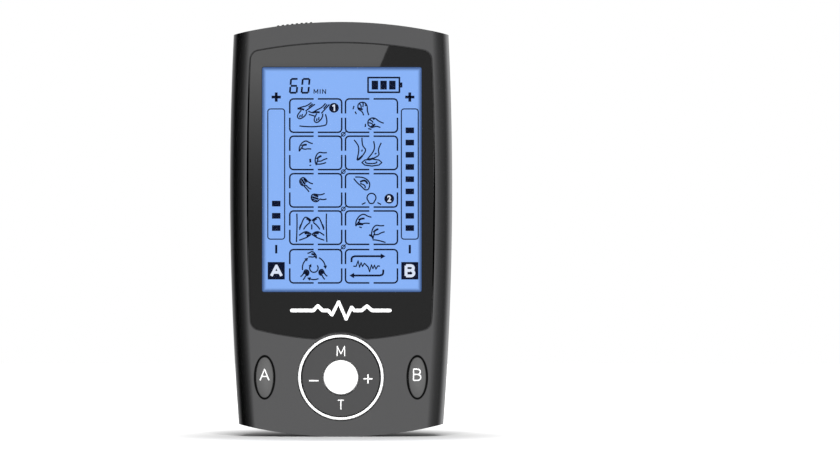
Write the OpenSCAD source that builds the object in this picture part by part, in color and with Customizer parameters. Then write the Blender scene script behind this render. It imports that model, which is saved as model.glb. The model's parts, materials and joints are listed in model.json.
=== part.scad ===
// Hand-held two-channel nerve and muscle stimulator.
// X runs across the unit, Y through its thickness with the front towards -Y, and Z up its length.
// The origin is in the middle of the foot of the whole unit's box. All sizes are millimetres.

/* [Housing] */
// Widest width of the housing
body_w = 60; // [58.5:0.5:61.5]
// Height from the foot arc's lowest point to the top arc's crown
body_h = 111.7; // [111.2:0.1:113]
// Thickness from the top of the proud keys to the flat back
body_d = 12.4; // [12.2:0.1:13]
// Radius of the long side arcs
side_r = 849; // [760:1:1000]
// Height at which the side arcs are widest
widest_z = 67.1; // [64:0.1:70]
// Radius of the top arc
crown_r = 126; // [122:1:134]
// Radius of the foot arc
foot_r = 116; // [112:1:124]
// Radius of the rolled edge between the front and the sides
front_roll = 4.6; // [4.2:0.1:5]
// Radius of the rolled edge between the back and the sides
back_roll = 3; // [2.6:0.1:3.4]
// Wall thickness of both shells
wall = 1.6; // [1.5:0.1:1.7]
// How far the keys stand proud of the front
key_proud = 0.4; // [0.3:0.05:0.5]
// Place of the seam between the shells
seam_y = 1; // [0.9:0.1:1.1]

/* [Display] */
// Gap from the side of the housing to the side of the window
window_inset = 4.9; // [4.7:0.1:5.2]
// Gap from the crown of the housing to the crown of the window
window_drop = 5.6; // [5.4:0.1:6]
// Height of the lowest point of the window's foot arc
window_foot_z = 26.1; // [25.8:0.1:26.4]
// Radius of the window's foot arc
window_foot_r = 92; // [88:1:100]
// Corner radius of the window
window_corner_r = 2.6; // [2.2:0.1:3]
// Thickness of the window
window_t = 1; // [0.9:0.05:1.05]
// Width of the visible screen
view_w = 42.9; // [42:0.1:43.2]
// Height of the visible screen
view_h = 60.5; // [60:0.1:60.8]
// Height of the foot of the visible screen
view_z = 39; // [38.8:0.1:39.2]
// Sideways place of the middle of the visible screen
view_x = 0.25; // [0:0.05:0.3]

/* [Keys] */
// Height of the middle of every key
key_z = 16; // [15.8:0.1:16.2]
// Outer radius of the white trim ring
ring_r = 11.54; // [11.5:0.01:11.6]
// Inner radius of the white trim ring
ring_bore_r = 10.72; // [10.7:0.01:10.75]
// Radius of the centre key
centre_r = 4.6; // [4.5:0.05:4.65]
// Distance of the channel keys from the middle
channel_x = 20.55; // [20.4:0.05:20.6]
// Half width of a channel key
channel_a = 2.45; // [2.3:0.05:2.5]
// Half height of a channel key
channel_b = 5.55; // [5.3:0.05:5.6]
// Gap round a channel key
channel_gap = 0.35; // [0.3:0.05:0.4]
// Travel of the three pressed keys
key_travel = 0.5; // [0.4:0.05:0.5]

/* [Power switch] */
// Sideways place of the switch knob
knob_x = -12.6; // [-13:0.1:-12.2]
// Length of the switch knob
knob_l = 9.9; // [9.6:0.1:10.2]
// Travel of the switch knob
knob_travel = 2; // [1.8:0.1:2.2]
// Number of grip ridges
ridge_n = 8; // [6:1:8]
// Distance from ridge to ridge
ridge_pitch = 1.27; // [1.2:0.01:1.3]

/* [Sockets] */
// Sideways place of the channel A output jack
jack_a_x = 3.5; // [3:0.1:4]
// Sideways place of the channel B output jack
jack_b_x = 15.5; // [15:0.1:16]
// Bore radius of an output jack
jack_bore_r = 1.3; // [1.2:0.01:1.35]
// Bore depth of an output jack
jack_bore_l = 11; // [10:0.5:11.5]

/* [Hidden] */

half_w = body_w / 2;
back_y = body_d / 2;
key_top_y = -body_d / 2;
face_y = key_top_y + key_proud;
inner_front_y = face_y + wall;
inner_back_y = back_y - wall;
front_depth = seam_y - face_y;
back_depth = back_y - seam_y;
arc_fn = 720;
round_fn = 96;
small_fn = 32;
over = 1;

// Shell joint, window seat and screws
lip_t = 0.7;
lip_h = 1;
lip_gap = 0.08;
lip_step = 0.8;
window_sink = 0.05;
window_gap = 0.1;
view_margin = 0.4;
boss_r = 2.2;
boss_places = [[24.5, 105], [-24.5, 105], [23.5, 6.6], [-23.5, 6.6]];
pilot_r = 0.85;
shank_r = 0.8;
clear_r = 1.15;
head_r = 1.9;
head_t = 1.2;
cross_l = 2.2;
cross_w = 0.5;
head_seat_y = back_y - 1.9;
recess_r = 2.15;
screw_tip_y = -2.6;
label_w = 34;
label_h = 44;
label_z = 62;
label_sink = 0.2;

// Depths of what lies between the shells
pcb_front_y = -0.4;
pcb_back_y = 0.8;
lay_gap = 0.05;
glass_t = 2;
holder_w = 47.2;
holder_z = [35.6, 102.4];
holder_t = 0.8;
lcd_w = holder_w - 2 * holder_t - 2 * lay_gap;
lcd_z = [holder_z[0] + holder_t + lay_gap, holder_z[1] - holder_t - lay_gap];
glass_y = [inner_front_y + lay_gap, inner_front_y + lay_gap + glass_t];
zebra_h = 2;
led_w = 3;
led_h = 1.4;
led_pitch = 14;

// Direction pad and keys
pad_r = 10.5;
pad_bore_r = 4.85;
pad_sink = 0.2;
pad_plate_t = 1.4;
pad_skirt_t = 1.1;
pad_foot_y = -2.5;
pad_flange_r = 11.2;
pad_flange_t = 0.5;
post_ring_r = 8;
post_r = 0.9;
post_foot_y = -1.8;
collar_r = [5.85, 6.55];
collar_y = [-4.2, -1.4];
ring_flange_r = 12.8;
ring_flange_t = 0.4;
ring_gap = 0.1;
key_flange_grow = 0.85;
key_flange_t = 0.6;
key_foot_y = -2;
key_post_r = 1.5;
centre_foot_y = -3.3;
centre_flange_t = 0.7;
mat_t = 0.55;
mat_inset = 3.4;
mat_top_z = 30.5;
mat_top_y = pcb_front_y - lay_gap - mat_t;
dome_top_y = -1.4;
pill_t = 0.3;
key_domes = [[channel_x, key_z, 1.6], [-channel_x, key_z, 1.6], [0, key_z, 1.6],
             [post_ring_r, key_z, post_r], [-post_ring_r, key_z, post_r],
             [0, key_z + post_ring_r, post_r], [0, key_z - post_ring_r, post_r]];

// Power switch
slot_gap = 0.15;
slot_w = 3.2;
knob_w = 2.9;
knob_sink = 0.1;
ridge_h = 0.4;
ridge_w = 0.6;
knob_flange_z = [107.4, 108.4];
knob_flange_grow = 1;
knob_flange_d = 5;
knob_foot_z = 105.5;
knob_foot_w = 4.8;
knob_foot_d = 2.6;
knob_room = 6.2;
lever_w = 1.5;
lever_z = [103.5, 107.2];
lever_gap = 0.1;
switch_x = knob_x + knob_travel / 2;
switch_y = [pcb_front_y + lay_gap, seam_y + 1.8];
switch_z = [101.5, 105.2];
switch_l = 9;
switch_notch = 6.4;

// Sockets
jack_y = 2.1;
jack_nose_r = 2.4;
jack_hole_r = 2.55;
jack_w = 6;
jack_d = 4.8;
jack_z = [97, 108];
tail_x = 1.6;
tail_w = 0.6;
tail_l = 1.8;
usb_w = 7.5;
usb_h = 2.8;
usb_wall = 0.3;
usb_z = [0.45, 6];
usb_y = pcb_back_y + lay_gap;
tongue_w = 3.8;
tongue_t = 0.6;

// Capacitor cans on the back of the board
can_r = 1.75;
can_l = 6;

// Battery and its lead
battery_y = [pcb_back_y + 0.2, inner_back_y - 0.3];
battery_z = [36, 85.5];
battery_w = 34;
battery_fold = 3;
fold_inset = [0.5, 0.9];
foam_w = 28;
foam_inset = 4;
connector_z = [88.5, 93];
connector_w = 6;
lead_x = -10;
lead_y = (battery_y[0] + battery_y[1]) / 2;
lead_r = 0.5;

// Height of the outside of the top arc at a place across the unit
function crown_z(x, inset = 0) = body_h - crown_r + sqrt((crown_r - inset) ^ 2 - x ^ 2);
function ellipse_points(a, b, n = 72) =
    [for (i = [0 : n - 1]) [a * cos(360 * i / n), b * sin(360 * i / n)]];

// Stands a front view upright, with its thickness running from y towards the front
module facing(y) translate([0, y, 0]) rotate([90, 0, 0]) children();
// Stands a mirror-even front view upright, with its thickness running from y towards the back
module backing(y) translate([0, y, 0]) rotate([90, 0, 180]) children();
// A front view drawn out between two depths
module plate(y0, y1) facing(y1) linear_extrude(y1 - y0) children();
// A round bar through the thickness of the unit
module rod(x, z, y0, y1, r, n = round_fn)
    translate([x, y1, z]) rotate([90, 0, 0]) cylinder(r = r, h = y1 - y0, $fn = n);
// A box between two corners
module block(low, high) translate(low) cube(high - low);

// The stretch between the top arc and the foot arc
module ends(inset) intersection() {
    translate([0, body_h - crown_r]) circle(crown_r - inset, $fn = arc_fn);
    translate([0, foot_r]) circle(foot_r - inset, $fn = arc_fn);
}
// The stretch between the two side arcs
module sides(inset) intersection() {
    translate([half_w - side_r, widest_z]) circle(side_r - inset, $fn = arc_fn);
    translate([side_r - half_w, widest_z]) circle(side_r - inset, $fn = arc_fn);
}
// The front view of the housing
module outline(inset) intersection() {
    ends(inset);
    sides(inset);
}
// Section through one long side: square at the seam, rolled at the face
module rim_section(r, depth, roll) {
    inner = r - half_w - 2;
    translate([inner, 0]) square([r - inner, depth - roll]);
    translate([inner, 0]) square([r - roll - inner, depth]);
    intersection() {
        translate([r - roll, depth - roll]) circle(roll, $fn = round_fn);
        translate([r - roll - over, depth - roll]) square(roll + 2 * over);
    }
}
// Half of a housing form lying on its back: its sides turn about the centres of the side arcs
module half_form(inset, depth, roll) intersection() {
    translate([half_w - side_r, widest_z]) rotate_extrude($fn = arc_fn)
        rim_section(side_r - inset, depth, roll);
    translate([0, -over, -over]) cube([half_w + over, body_h + 2 * over, depth + 2 * over]);
    translate([0, 0, -over]) linear_extrude(depth + 2 * over) ends(inset);
}
module form(inset, depth, roll) {
    half_form(inset, depth, roll);
    mirror([1, 0, 0]) half_form(inset, depth, roll);
}
// The front view of the window, with a round notch over the direction pad
module window_outline(grow) offset(delta = grow)
    offset(r = window_corner_r, $fn = 48) offset(delta = -window_corner_r) difference() {
        intersection() {
            sides(window_inset);
            translate([0, body_h - crown_r]) circle(crown_r - window_drop, $fn = arc_fn);
            translate([0, window_foot_z + window_foot_r]) circle(window_foot_r, $fn = arc_fn);
        }
        translate([0, key_z]) circle(ring_r + 0.7, $fn = round_fn);
    }
module view_area(grow) translate([view_x - view_w / 2 - grow, view_z - grow])
    square([view_w + 2 * grow, view_h + 2 * grow]);

// Everything that passes through the walls at the seam: jacks, power switch and charging socket
module wall_openings(grow = 0) {
    for (x = [jack_a_x, jack_b_x]) translate([x, jack_y, jack_z[1] - over])
        cylinder(r = jack_hole_r + grow, h = body_h - jack_z[1] + 3, $fn = round_fn);
    block([knob_x - knob_l / 2 - slot_gap - grow, seam_y - slot_w / 2 - grow, knob_flange_z[1]],
          [knob_x + knob_l / 2 + knob_travel + slot_gap + grow, seam_y + slot_w / 2 + grow, body_h + over]);
    block([-usb_w / 2 - slot_gap - grow, usb_y - slot_gap - grow, -over],
          [usb_w / 2 + slot_gap + grow, usb_y + usb_h + slot_gap + grow, 3]);
}

module front_shell() color("#5c5c5c") difference() {
    union() {
        difference() {
            facing(seam_y) form(0, front_depth, front_roll);
            facing(seam_y + over) form(wall, front_depth - wall + over, front_roll - wall);
        }
        for (p = boss_places) rod(p[0], p[1], inner_front_y - 0.2, seam_y, boss_r);
    }
    plate(face_y - over, face_y + window_sink + window_t + lay_gap) window_outline(window_gap);
    plate(face_y, inner_front_y + over) view_area(view_margin);
    rod(0, key_z, face_y - over, inner_front_y + over, ring_r + ring_gap);
    for (s = [-1, 1]) translate([s * channel_x, 0, key_z]) plate(face_y - over, inner_front_y + over)
        polygon(ellipse_points(channel_a + channel_gap, channel_b + channel_gap));
    for (p = boss_places) rod(p[0], p[1], screw_tip_y - 0.3, seam_y + over, pilot_r, small_fn);
    wall_openings();
}

module back_shell() color("#3c3c3d") difference() {
    union() {
        difference() {
            backing(seam_y) form(0, back_depth, back_roll);
            backing(seam_y - over) form(wall, back_depth - wall + over, back_roll - wall);
        }
        plate(seam_y - lip_h, seam_y + lip_step) difference() {
            outline(wall + lip_gap);
            outline(wall + lip_gap + lip_t);
        }
        plate(seam_y, seam_y + lip_step) difference() {
            outline(wall / 2);
            outline(wall + lip_t / 2);
        }
        for (p = boss_places) rod(p[0], p[1], seam_y + lay_gap, inner_back_y + 0.2, boss_r);
    }
    for (p = boss_places) {
        rod(p[0], p[1], -over, back_y, clear_r, small_fn);
        rod(p[0], p[1], head_seat_y, back_y + over, recess_r, small_fn);
        rod(p[0], p[1], seam_y - lip_h - over, seam_y + lay_gap, boss_r + 0.25);
    }
    plate(back_y - label_sink, back_y + over) translate([-label_w / 2, label_z - label_h / 2])
        square([label_w, label_h]);
    wall_openings();
    for (x = [jack_a_x, jack_b_x])
        block([x - jack_w / 2 - 0.2, -over, jack_z[0]], [x + jack_w / 2 + 0.2, jack_y, jack_z[1] + 0.4]);
    block([knob_x - knob_room, -over, 104],
          [knob_x + knob_room + knob_travel, seam_y + knob_flange_d / 2 + 0.2, knob_flange_z[1] + 0.1]);
    block([-usb_w / 2 - 0.3, -over, 0], [usb_w / 2 + 0.3, seam_y + lip_step, usb_z[1]]);
}

module display_window() color("#1c1c1e")
    plate(face_y + window_sink, face_y + window_sink + window_t) window_outline(0);

// Pan-head screws, driven in from the back
module shell_screws() color("#8a8c90") for (p = boss_places) difference() {
    union() {
        rod(p[0], p[1], screw_tip_y, head_seat_y, shank_r, small_fn);
        rod(p[0], p[1], head_seat_y, head_seat_y + head_t, head_r, small_fn);
    }
    for (a = [0, 90]) translate([p[0], head_seat_y + head_t, p[1]]) rotate([0, a, 0])
        cube([cross_l, 1.2, cross_w], center = true);
}

module lcd_holder() color("#e8e8e4") difference() {
    block([-holder_w / 2, inner_front_y + lay_gap, holder_z[0]],
          [holder_w / 2, pcb_front_y - lay_gap, holder_z[1]]);
    block([-holder_w / 2 + holder_t, inner_front_y - over, holder_z[0] + holder_t],
          [holder_w / 2 - holder_t, pcb_front_y + over, holder_z[1] - holder_t]);
}
module lcd_glass() color("#8ab4ff")
    block([-lcd_w / 2, glass_y[0], lcd_z[0]], [lcd_w / 2, glass_y[1], lcd_z[1]]);
module zebra_strip() color("#2b2b2b")
    block([-lcd_w / 2 + 1, glass_y[1] + lay_gap, lcd_z[0]],
          [lcd_w / 2 - 1, pcb_front_y - lay_gap, lcd_z[0] + zebra_h]);
module light_guide() color("#dfe9ff")
    block([-lcd_w / 2, glass_y[1] + lay_gap, lcd_z[0] + zebra_h + 0.2],
          [lcd_w / 2, pcb_front_y - lay_gap, lcd_z[1] - led_h - 0.1]);
module backlight_leds() color("#fff4c0") for (i = [-1 : 1])
    block([i * led_pitch - led_w / 2, glass_y[1] + lay_gap, lcd_z[1] - led_h],
          [i * led_pitch + led_w / 2, pcb_front_y - lay_gap, lcd_z[1]]);

module main_pcb() color("#1d5a35") difference() {
    plate(pcb_front_y, pcb_back_y) outline(wall + lip_t + 0.35);
    for (p = boss_places) rod(p[0], p[1], pcb_front_y - over, pcb_back_y + over, boss_r + 0.3);
    for (x = [jack_a_x, jack_b_x])
        block([x - jack_w / 2 - 0.2, -2, jack_z[0] - 0.2], [x + jack_w / 2 + 0.2, 2, body_h]);
    block([knob_x - switch_notch, -2, switch_z[0] - 0.2], [knob_x + switch_notch + knob_travel, 2, body_h]);
}

// Silicone mat: a sheet on the board with a dome under every key, each over a pocket for its carbon pill
module key_mat() color("#b9b9b4") difference() {
    union() {
        plate(mat_top_y, mat_top_y + mat_t) difference() {
            intersection() {
                outline(mat_inset);
                translate([-half_w, 0]) square([body_w, mat_top_z]);
            }
            for (p = boss_places) translate(p) circle(boss_r + 0.4, $fn = round_fn);
        }
        for (k = key_domes) rod(k[0], k[1], dome_top_y, mat_top_y + 0.1, k[2]);
    }
    for (k = key_domes) rod(k[0], k[1], mat_top_y + 0.05, pcb_front_y, k[2] - 0.3, small_fn);
}
module carbon_pills() color("#202020")
    for (k = key_domes) rod(k[0], k[1], mat_top_y + 0.1, mat_top_y + 0.1 + pill_t, k[2] - 0.4, small_fn);

// White trim ring, dropped in from inside and stopped by its flange
module pad_ring() color("#f4f4f2") difference() {
    union() {
        rod(0, key_z, face_y - 0.3, inner_front_y + lay_gap + 0.1, ring_r);
        rod(0, key_z, inner_front_y + lay_gap, inner_front_y + lay_gap + ring_flange_t, ring_flange_r);
    }
    rod(0, key_z, face_y - over, inner_front_y + over, ring_bore_r);
}
// Silicone collar that carries the pad and lets it tip either way
module pad_collar() color("#a8a8a4") difference() {
    rod(0, key_z, collar_y[0], collar_y[1], collar_r[1]);
    rod(0, key_z, collar_y[0] - over, collar_y[1] + over, collar_r[0]);
}
module direction_pad() color("#535354") {
    difference() {
        union() {
            rod(0, key_z, key_top_y + pad_sink, pad_foot_y, pad_r);
            rod(0, key_z, pad_foot_y - pad_flange_t, pad_foot_y, pad_flange_r);
        }
        rod(0, key_z, key_top_y + pad_sink + pad_plate_t, pad_foot_y + over, pad_r - pad_skirt_t);
        rod(0, key_z, key_top_y - over, pad_foot_y + over, pad_bore_r);
    }
    for (a = [0 : 90 : 270])
        rod(post_ring_r * cos(a), key_z + post_ring_r * sin(a),
            key_top_y + pad_sink + pad_plate_t - 0.2, post_foot_y, post_r);
}
module centre_button() color("#f4f4f2") {
    rod(0, key_z, key_top_y, centre_foot_y - 0.2, centre_r);
    rod(0, key_z, centre_foot_y - centre_flange_t, centre_foot_y, centre_r + 0.8);
    rod(0, key_z, centre_foot_y - 0.1, key_foot_y, key_post_r);
}
// A channel key: an oval cap, a flange that stops it behind the wall and a post over its dome
module channel_key(x) color("#787878") translate([x, 0, 0]) {
    translate([0, 0, key_z]) {
        plate(key_top_y + 0.1, inner_front_y + 0.2) polygon(ellipse_points(channel_a, channel_b));
        plate(inner_front_y + 0.1, inner_front_y + 0.1 + key_flange_t)
            polygon(ellipse_points(channel_a + key_flange_grow, channel_b + key_flange_grow));
    }
    rod(0, key_z, inner_front_y + 0.2, key_foot_y, key_post_r);
}
module button_a() channel_key(-channel_x);
module button_b() channel_key(channel_x);

// Sliding knob: its top and ridges follow the housing's top arc
module power_knob() color("#171717") {
    difference() {
        union() {
            knob_stem();
            for (i = [0 : ridge_n - 1]) intersection() {
                translate([knob_x + (i - (ridge_n - 1) / 2) * ridge_pitch, seam_y, body_h - 1])
                    cube([ridge_w, knob_w, 4], center = true);
                crown_disc(ridge_h);
            }
            block([knob_x - knob_l / 2 - knob_flange_grow, seam_y - knob_flange_d / 2, knob_flange_z[0]],
                  [knob_x + knob_l / 2 + knob_flange_grow, seam_y + knob_flange_d / 2,
                   knob_flange_z[1] - 0.1]);
            block([knob_x - knob_foot_w / 2, seam_y - knob_foot_d / 2, knob_foot_z],
                  [knob_x + knob_foot_w / 2, seam_y + knob_foot_d / 2, knob_flange_z[0] + 0.1]);
        }
        block([knob_x - lever_w / 2 - lever_gap, seam_y - lever_w / 2 - lever_gap, knob_foot_z - over],
              [knob_x + lever_w / 2 + lever_gap, seam_y + lever_w / 2 + lever_gap, lever_z[1] + lever_gap]);
    }
}
// A wide disc whose edge is the housing's top arc, grown outwards
module crown_disc(grow) translate([0, seam_y - 2, body_h - crown_r]) rotate([-90, 0, 0])
    cylinder(r = crown_r + grow, h = 4, $fn = arc_fn);
module knob_stem() intersection() {
    block([knob_x - knob_l / 2, seam_y - knob_w / 2, knob_flange_z[0]],
          [knob_x + knob_l / 2, seam_y + knob_w / 2, body_h]);
    crown_disc(-knob_sink);
}
module power_lever() color("#303030")
    block([knob_x - lever_w / 2, seam_y - lever_w / 2, lever_z[0]],
          [knob_x + lever_w / 2, seam_y + lever_w / 2, lever_z[1]]);
module power_switch_body() color("#b8babd") difference() {
    block([switch_x - switch_l / 2, switch_y[0], switch_z[0]],
          [switch_x + switch_l / 2, switch_y[1], switch_z[1]]);
    block([knob_x - lever_w / 2 - lever_gap, seam_y - lever_w / 2 - lever_gap, lever_z[0] - 2 * lever_gap],
          [knob_x + knob_travel + lever_w / 2 + lever_gap, seam_y + lever_w / 2 + lever_gap,
           switch_z[1] + over]);
}

// Output jack: a block on the board with a round nose in the top wall and a bore down its middle
module output_jack(x) color("#141414") {
    nose_z = crown_z(x + jack_nose_r) - 0.1;
    difference() {
        union() {
            block([x - jack_w / 2, jack_y - jack_d / 2, jack_z[0]],
                  [x + jack_w / 2, jack_y + jack_d / 2, jack_z[1]]);
            translate([x, jack_y, jack_z[1] - 0.5])
                cylinder(r = jack_nose_r, h = nose_z - jack_z[1] + 0.5, $fn = round_fn);
        }
        translate([x, jack_y, nose_z - jack_bore_l])
            cylinder(r = jack_bore_r, h = jack_bore_l + over, $fn = round_fn);
    }
}
module output_jack_a() output_jack(jack_a_x);
module output_jack_b() output_jack(jack_b_x);
// Solder tails of the two jacks
module jack_contacts() color("#c9c4b4") for (x = [jack_a_x, jack_b_x], s = [-1, 1])
    block([x + s * tail_x - tail_w / 2, jack_y - 1, jack_z[0] - tail_l],
          [x + s * tail_x + tail_w / 2, jack_y - 0.7, jack_z[0] - lay_gap]);

module usb_socket() color("#b9bcc0") difference() {
    block([-usb_w / 2, usb_y, usb_z[0]], [usb_w / 2, usb_y + usb_h, usb_z[1]]);
    block([-usb_w / 2 + usb_wall, usb_y + usb_wall, usb_z[0] - over],
          [usb_w / 2 - usb_wall, usb_y + usb_h - usb_wall, usb_z[1] - usb_wall]);
}
module usb_tongue() color("#151515")
    block([-tongue_w / 2, usb_y + usb_h / 2 - tongue_t / 2, usb_z[0] + 0.8],
          [tongue_w / 2, usb_y + usb_h / 2 + tongue_t / 2, usb_z[1] - usb_wall - lay_gap]);

module battery() color("#b7bcc4") {
    block([-battery_w / 2, battery_y[0], battery_z[0]],
          [battery_w / 2, battery_y[1], battery_z[1] - battery_fold]);
    block([-battery_w / 2 + fold_inset[0], battery_y[0] + fold_inset[1], battery_z[1] - battery_fold - 0.1],
          [battery_w / 2 - fold_inset[0], battery_y[1] - fold_inset[1], battery_z[1]]);
}
module battery_pad() color("#2c2c2c")
    block([-foam_w / 2, battery_y[1], battery_z[0] + foam_inset],
          [foam_w / 2, inner_back_y, battery_z[1] - battery_fold - foam_inset]);
module battery_leads() for (s = [-1, 1]) color(s < 0 ? "#b01818" : "#101010")
    translate([lead_x + 1.5 * s * lead_r, lead_y, battery_z[1]])
        cylinder(r = lead_r, h = connector_z[0] - battery_z[1], $fn = small_fn);
module battery_connector() color("#ece8dc")
    block([lead_x - connector_w / 2, pcb_back_y + lay_gap, connector_z[0]],
          [lead_x + connector_w / 2, lead_y + 1.2, connector_z[1]]);

// A part on the back of the board, given by its middle and its sizes
module back_chip(x, z, w, h, t) translate([x, pcb_back_y + lay_gap, z])
    block([-w / 2, 0, -h / 2], [w / 2, t, h / 2]);
module output_transformers() color("#2f2a26") for (s = [-1, 1]) {
    back_chip(s * 9, 25, 8, 8, 3.4);
    back_chip(s * 9, 25, 9, 3, 2.4);
}
module smoothing_capacitors() color("#39424e") for (s = [-1, 1])
    translate([s * 12 - can_l / 2, pcb_back_y + lay_gap + can_r, 14]) rotate([0, 90, 0])
        cylinder(r = can_r, h = can_l, $fn = round_fn);
module microcontroller() color("#1a1a1c") back_chip(12.5, 90.2, 9, 9, 1.2);
module driver_chips() color("#1a1a1c") for (s = [-1, 1]) back_chip(s * 4, 14, 4, 5, 1.5);
module crystal() color("#c4c7cb") back_chip(4, 91, 3, 8, 1.6);

front_shell();
back_shell();
display_window();
shell_screws();
lcd_holder();
lcd_glass();
light_guide();
backlight_leds();
zebra_strip();
main_pcb();
key_mat();
carbon_pills();
pad_ring();
pad_collar();
direction_pad();
centre_button();
button_a();
button_b();
power_knob();
power_lever();
power_switch_body();
output_jack_a();
output_jack_b();
jack_contacts();
usb_socket();
usb_tongue();
battery();
battery_pad();
battery_leads();
battery_connector();
output_transformers();
smoothing_capacitors();
microcontroller();
driver_chips();
crystal();
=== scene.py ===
"""Looks of a hand-held two-channel nerve stimulator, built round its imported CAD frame.

Lengths in the classes are in millimetres. A piece is shaped in millimetres and brought to metres once,
when it is finished. X runs across the unit, -Y points out of its front and Z runs up its length.
"""

from __future__ import annotations

import json
import logging
import math
from dataclasses import dataclass, field
from enum import Enum
from typing import Callable, Iterable, Sequence

import bmesh
import bpy
from mathutils import Matrix, Vector

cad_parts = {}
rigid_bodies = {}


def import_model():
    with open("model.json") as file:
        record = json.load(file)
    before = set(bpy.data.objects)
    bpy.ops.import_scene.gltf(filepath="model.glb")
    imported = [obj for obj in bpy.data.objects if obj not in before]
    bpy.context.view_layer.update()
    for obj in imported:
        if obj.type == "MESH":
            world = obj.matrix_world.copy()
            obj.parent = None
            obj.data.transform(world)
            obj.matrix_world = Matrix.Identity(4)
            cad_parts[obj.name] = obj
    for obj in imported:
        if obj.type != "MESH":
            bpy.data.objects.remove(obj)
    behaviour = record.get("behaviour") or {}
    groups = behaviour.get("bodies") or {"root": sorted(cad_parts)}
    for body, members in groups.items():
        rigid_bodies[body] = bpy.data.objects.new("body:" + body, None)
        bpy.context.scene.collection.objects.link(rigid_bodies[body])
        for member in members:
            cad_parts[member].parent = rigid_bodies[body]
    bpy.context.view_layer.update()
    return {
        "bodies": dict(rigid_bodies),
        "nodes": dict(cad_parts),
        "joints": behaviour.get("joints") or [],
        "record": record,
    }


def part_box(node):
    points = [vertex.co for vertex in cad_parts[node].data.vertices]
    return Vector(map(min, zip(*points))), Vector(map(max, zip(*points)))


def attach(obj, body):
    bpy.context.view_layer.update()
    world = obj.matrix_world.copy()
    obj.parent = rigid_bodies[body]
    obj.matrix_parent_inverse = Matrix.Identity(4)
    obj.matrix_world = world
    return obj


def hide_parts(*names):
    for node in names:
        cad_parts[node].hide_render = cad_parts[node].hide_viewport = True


LOG = logging.getLogger("stimulator")
MM = 0.001
SHARP = math.radians(32)

Point = tuple[float, float]


def linear(hex_colour: str) -> tuple[float, float, float, float]:
    """Turns an sRGB hex colour to the linear one that shaders take.

    Args:
        hex_colour: Six hex digits, such as "5c5c5c".

    Returns:
        Linear red, green, blue and an alpha of 1.
    """
    channels = [int(hex_colour[i : i + 2], 16) / 255 for i in (0, 2, 4)]
    flat = [c / 12.92 if c <= 0.04045 else ((c + 0.055) / 1.055) ** 2.4 for c in channels]
    return (flat[0], flat[1], flat[2], 1.0)


def add_node(tree: bpy.types.NodeTree, kind: str, settings: dict, inputs: dict) -> bpy.types.Node:
    """Adds a node with its settings and links.

    Args:
        tree: Node tree to add to.
        kind: Type name of the node, after its "ShaderNode".
        settings: Attributes of the node.
        inputs: Values, or sockets to link from, by the name or number of the input.

    Returns:
        The new node.
    """
    node = tree.nodes.new("ShaderNode" + kind)
    for name, value in settings.items():
        setattr(node, name, value)
    for name, value in inputs.items():
        if isinstance(value, bpy.types.NodeSocket):
            tree.links.new(value, node.inputs[name])
        else:
            node.inputs[name].default_value = value
    return node


# ---------------------------------------------------------------------------------------------- finishes


@dataclass(frozen=True)
class Finish:
    """A surface, from what it is made of and how it was made.

    Attributes:
        name: Name of the material.
        colour: sRGB hex colour.
        roughness: Roughness at its middle.
        metallic: 1 for bare metal, between for a metal-filled lacquer.
        ior: Index of refraction; metals keep the default.
        coat: Strength of a clear coat.
        specular: Strength of the plain gloss; 0 for what lies behind glass.
    """

    name: str
    colour: str
    roughness: float = 0.5
    metallic: float = 0.0
    ior: float = 1.5
    coat: float = 0.0
    specular: float = 0.5

    def material(self) -> bpy.types.Material:
        """Returns the finish's material, made once."""
        known = bpy.data.materials.get(self.name)
        if known:
            return known
        made = bpy.data.materials.new(self.name)
        made.use_nodes = True
        tree = made.node_tree
        shader = tree.nodes["Principled BSDF"]
        shader.inputs["Base Color"].default_value = linear(self.colour)
        shader.inputs["Roughness"].default_value = self.roughness
        shader.inputs["Metallic"].default_value = self.metallic
        shader.inputs["IOR"].default_value = self.ior
        shader.inputs["Coat Weight"].default_value = self.coat
        shader.inputs["Specular IOR Level"].default_value = self.specular
        made.diffuse_color = linear(self.colour)
        self.dress(tree, shader)
        return made

    def dress(self, tree: bpy.types.NodeTree, shader: bpy.types.Node) -> None:
        """Adds the finish's own pattern; a plain finish has none."""

    @staticmethod
    def place(tree: bpy.types.NodeTree) -> bpy.types.NodeSocket:
        """Returns the socket that gives a point's place on the piece, in metres."""
        return add_node(tree, "TexCoord", {}, {}).outputs["Object"]


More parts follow.
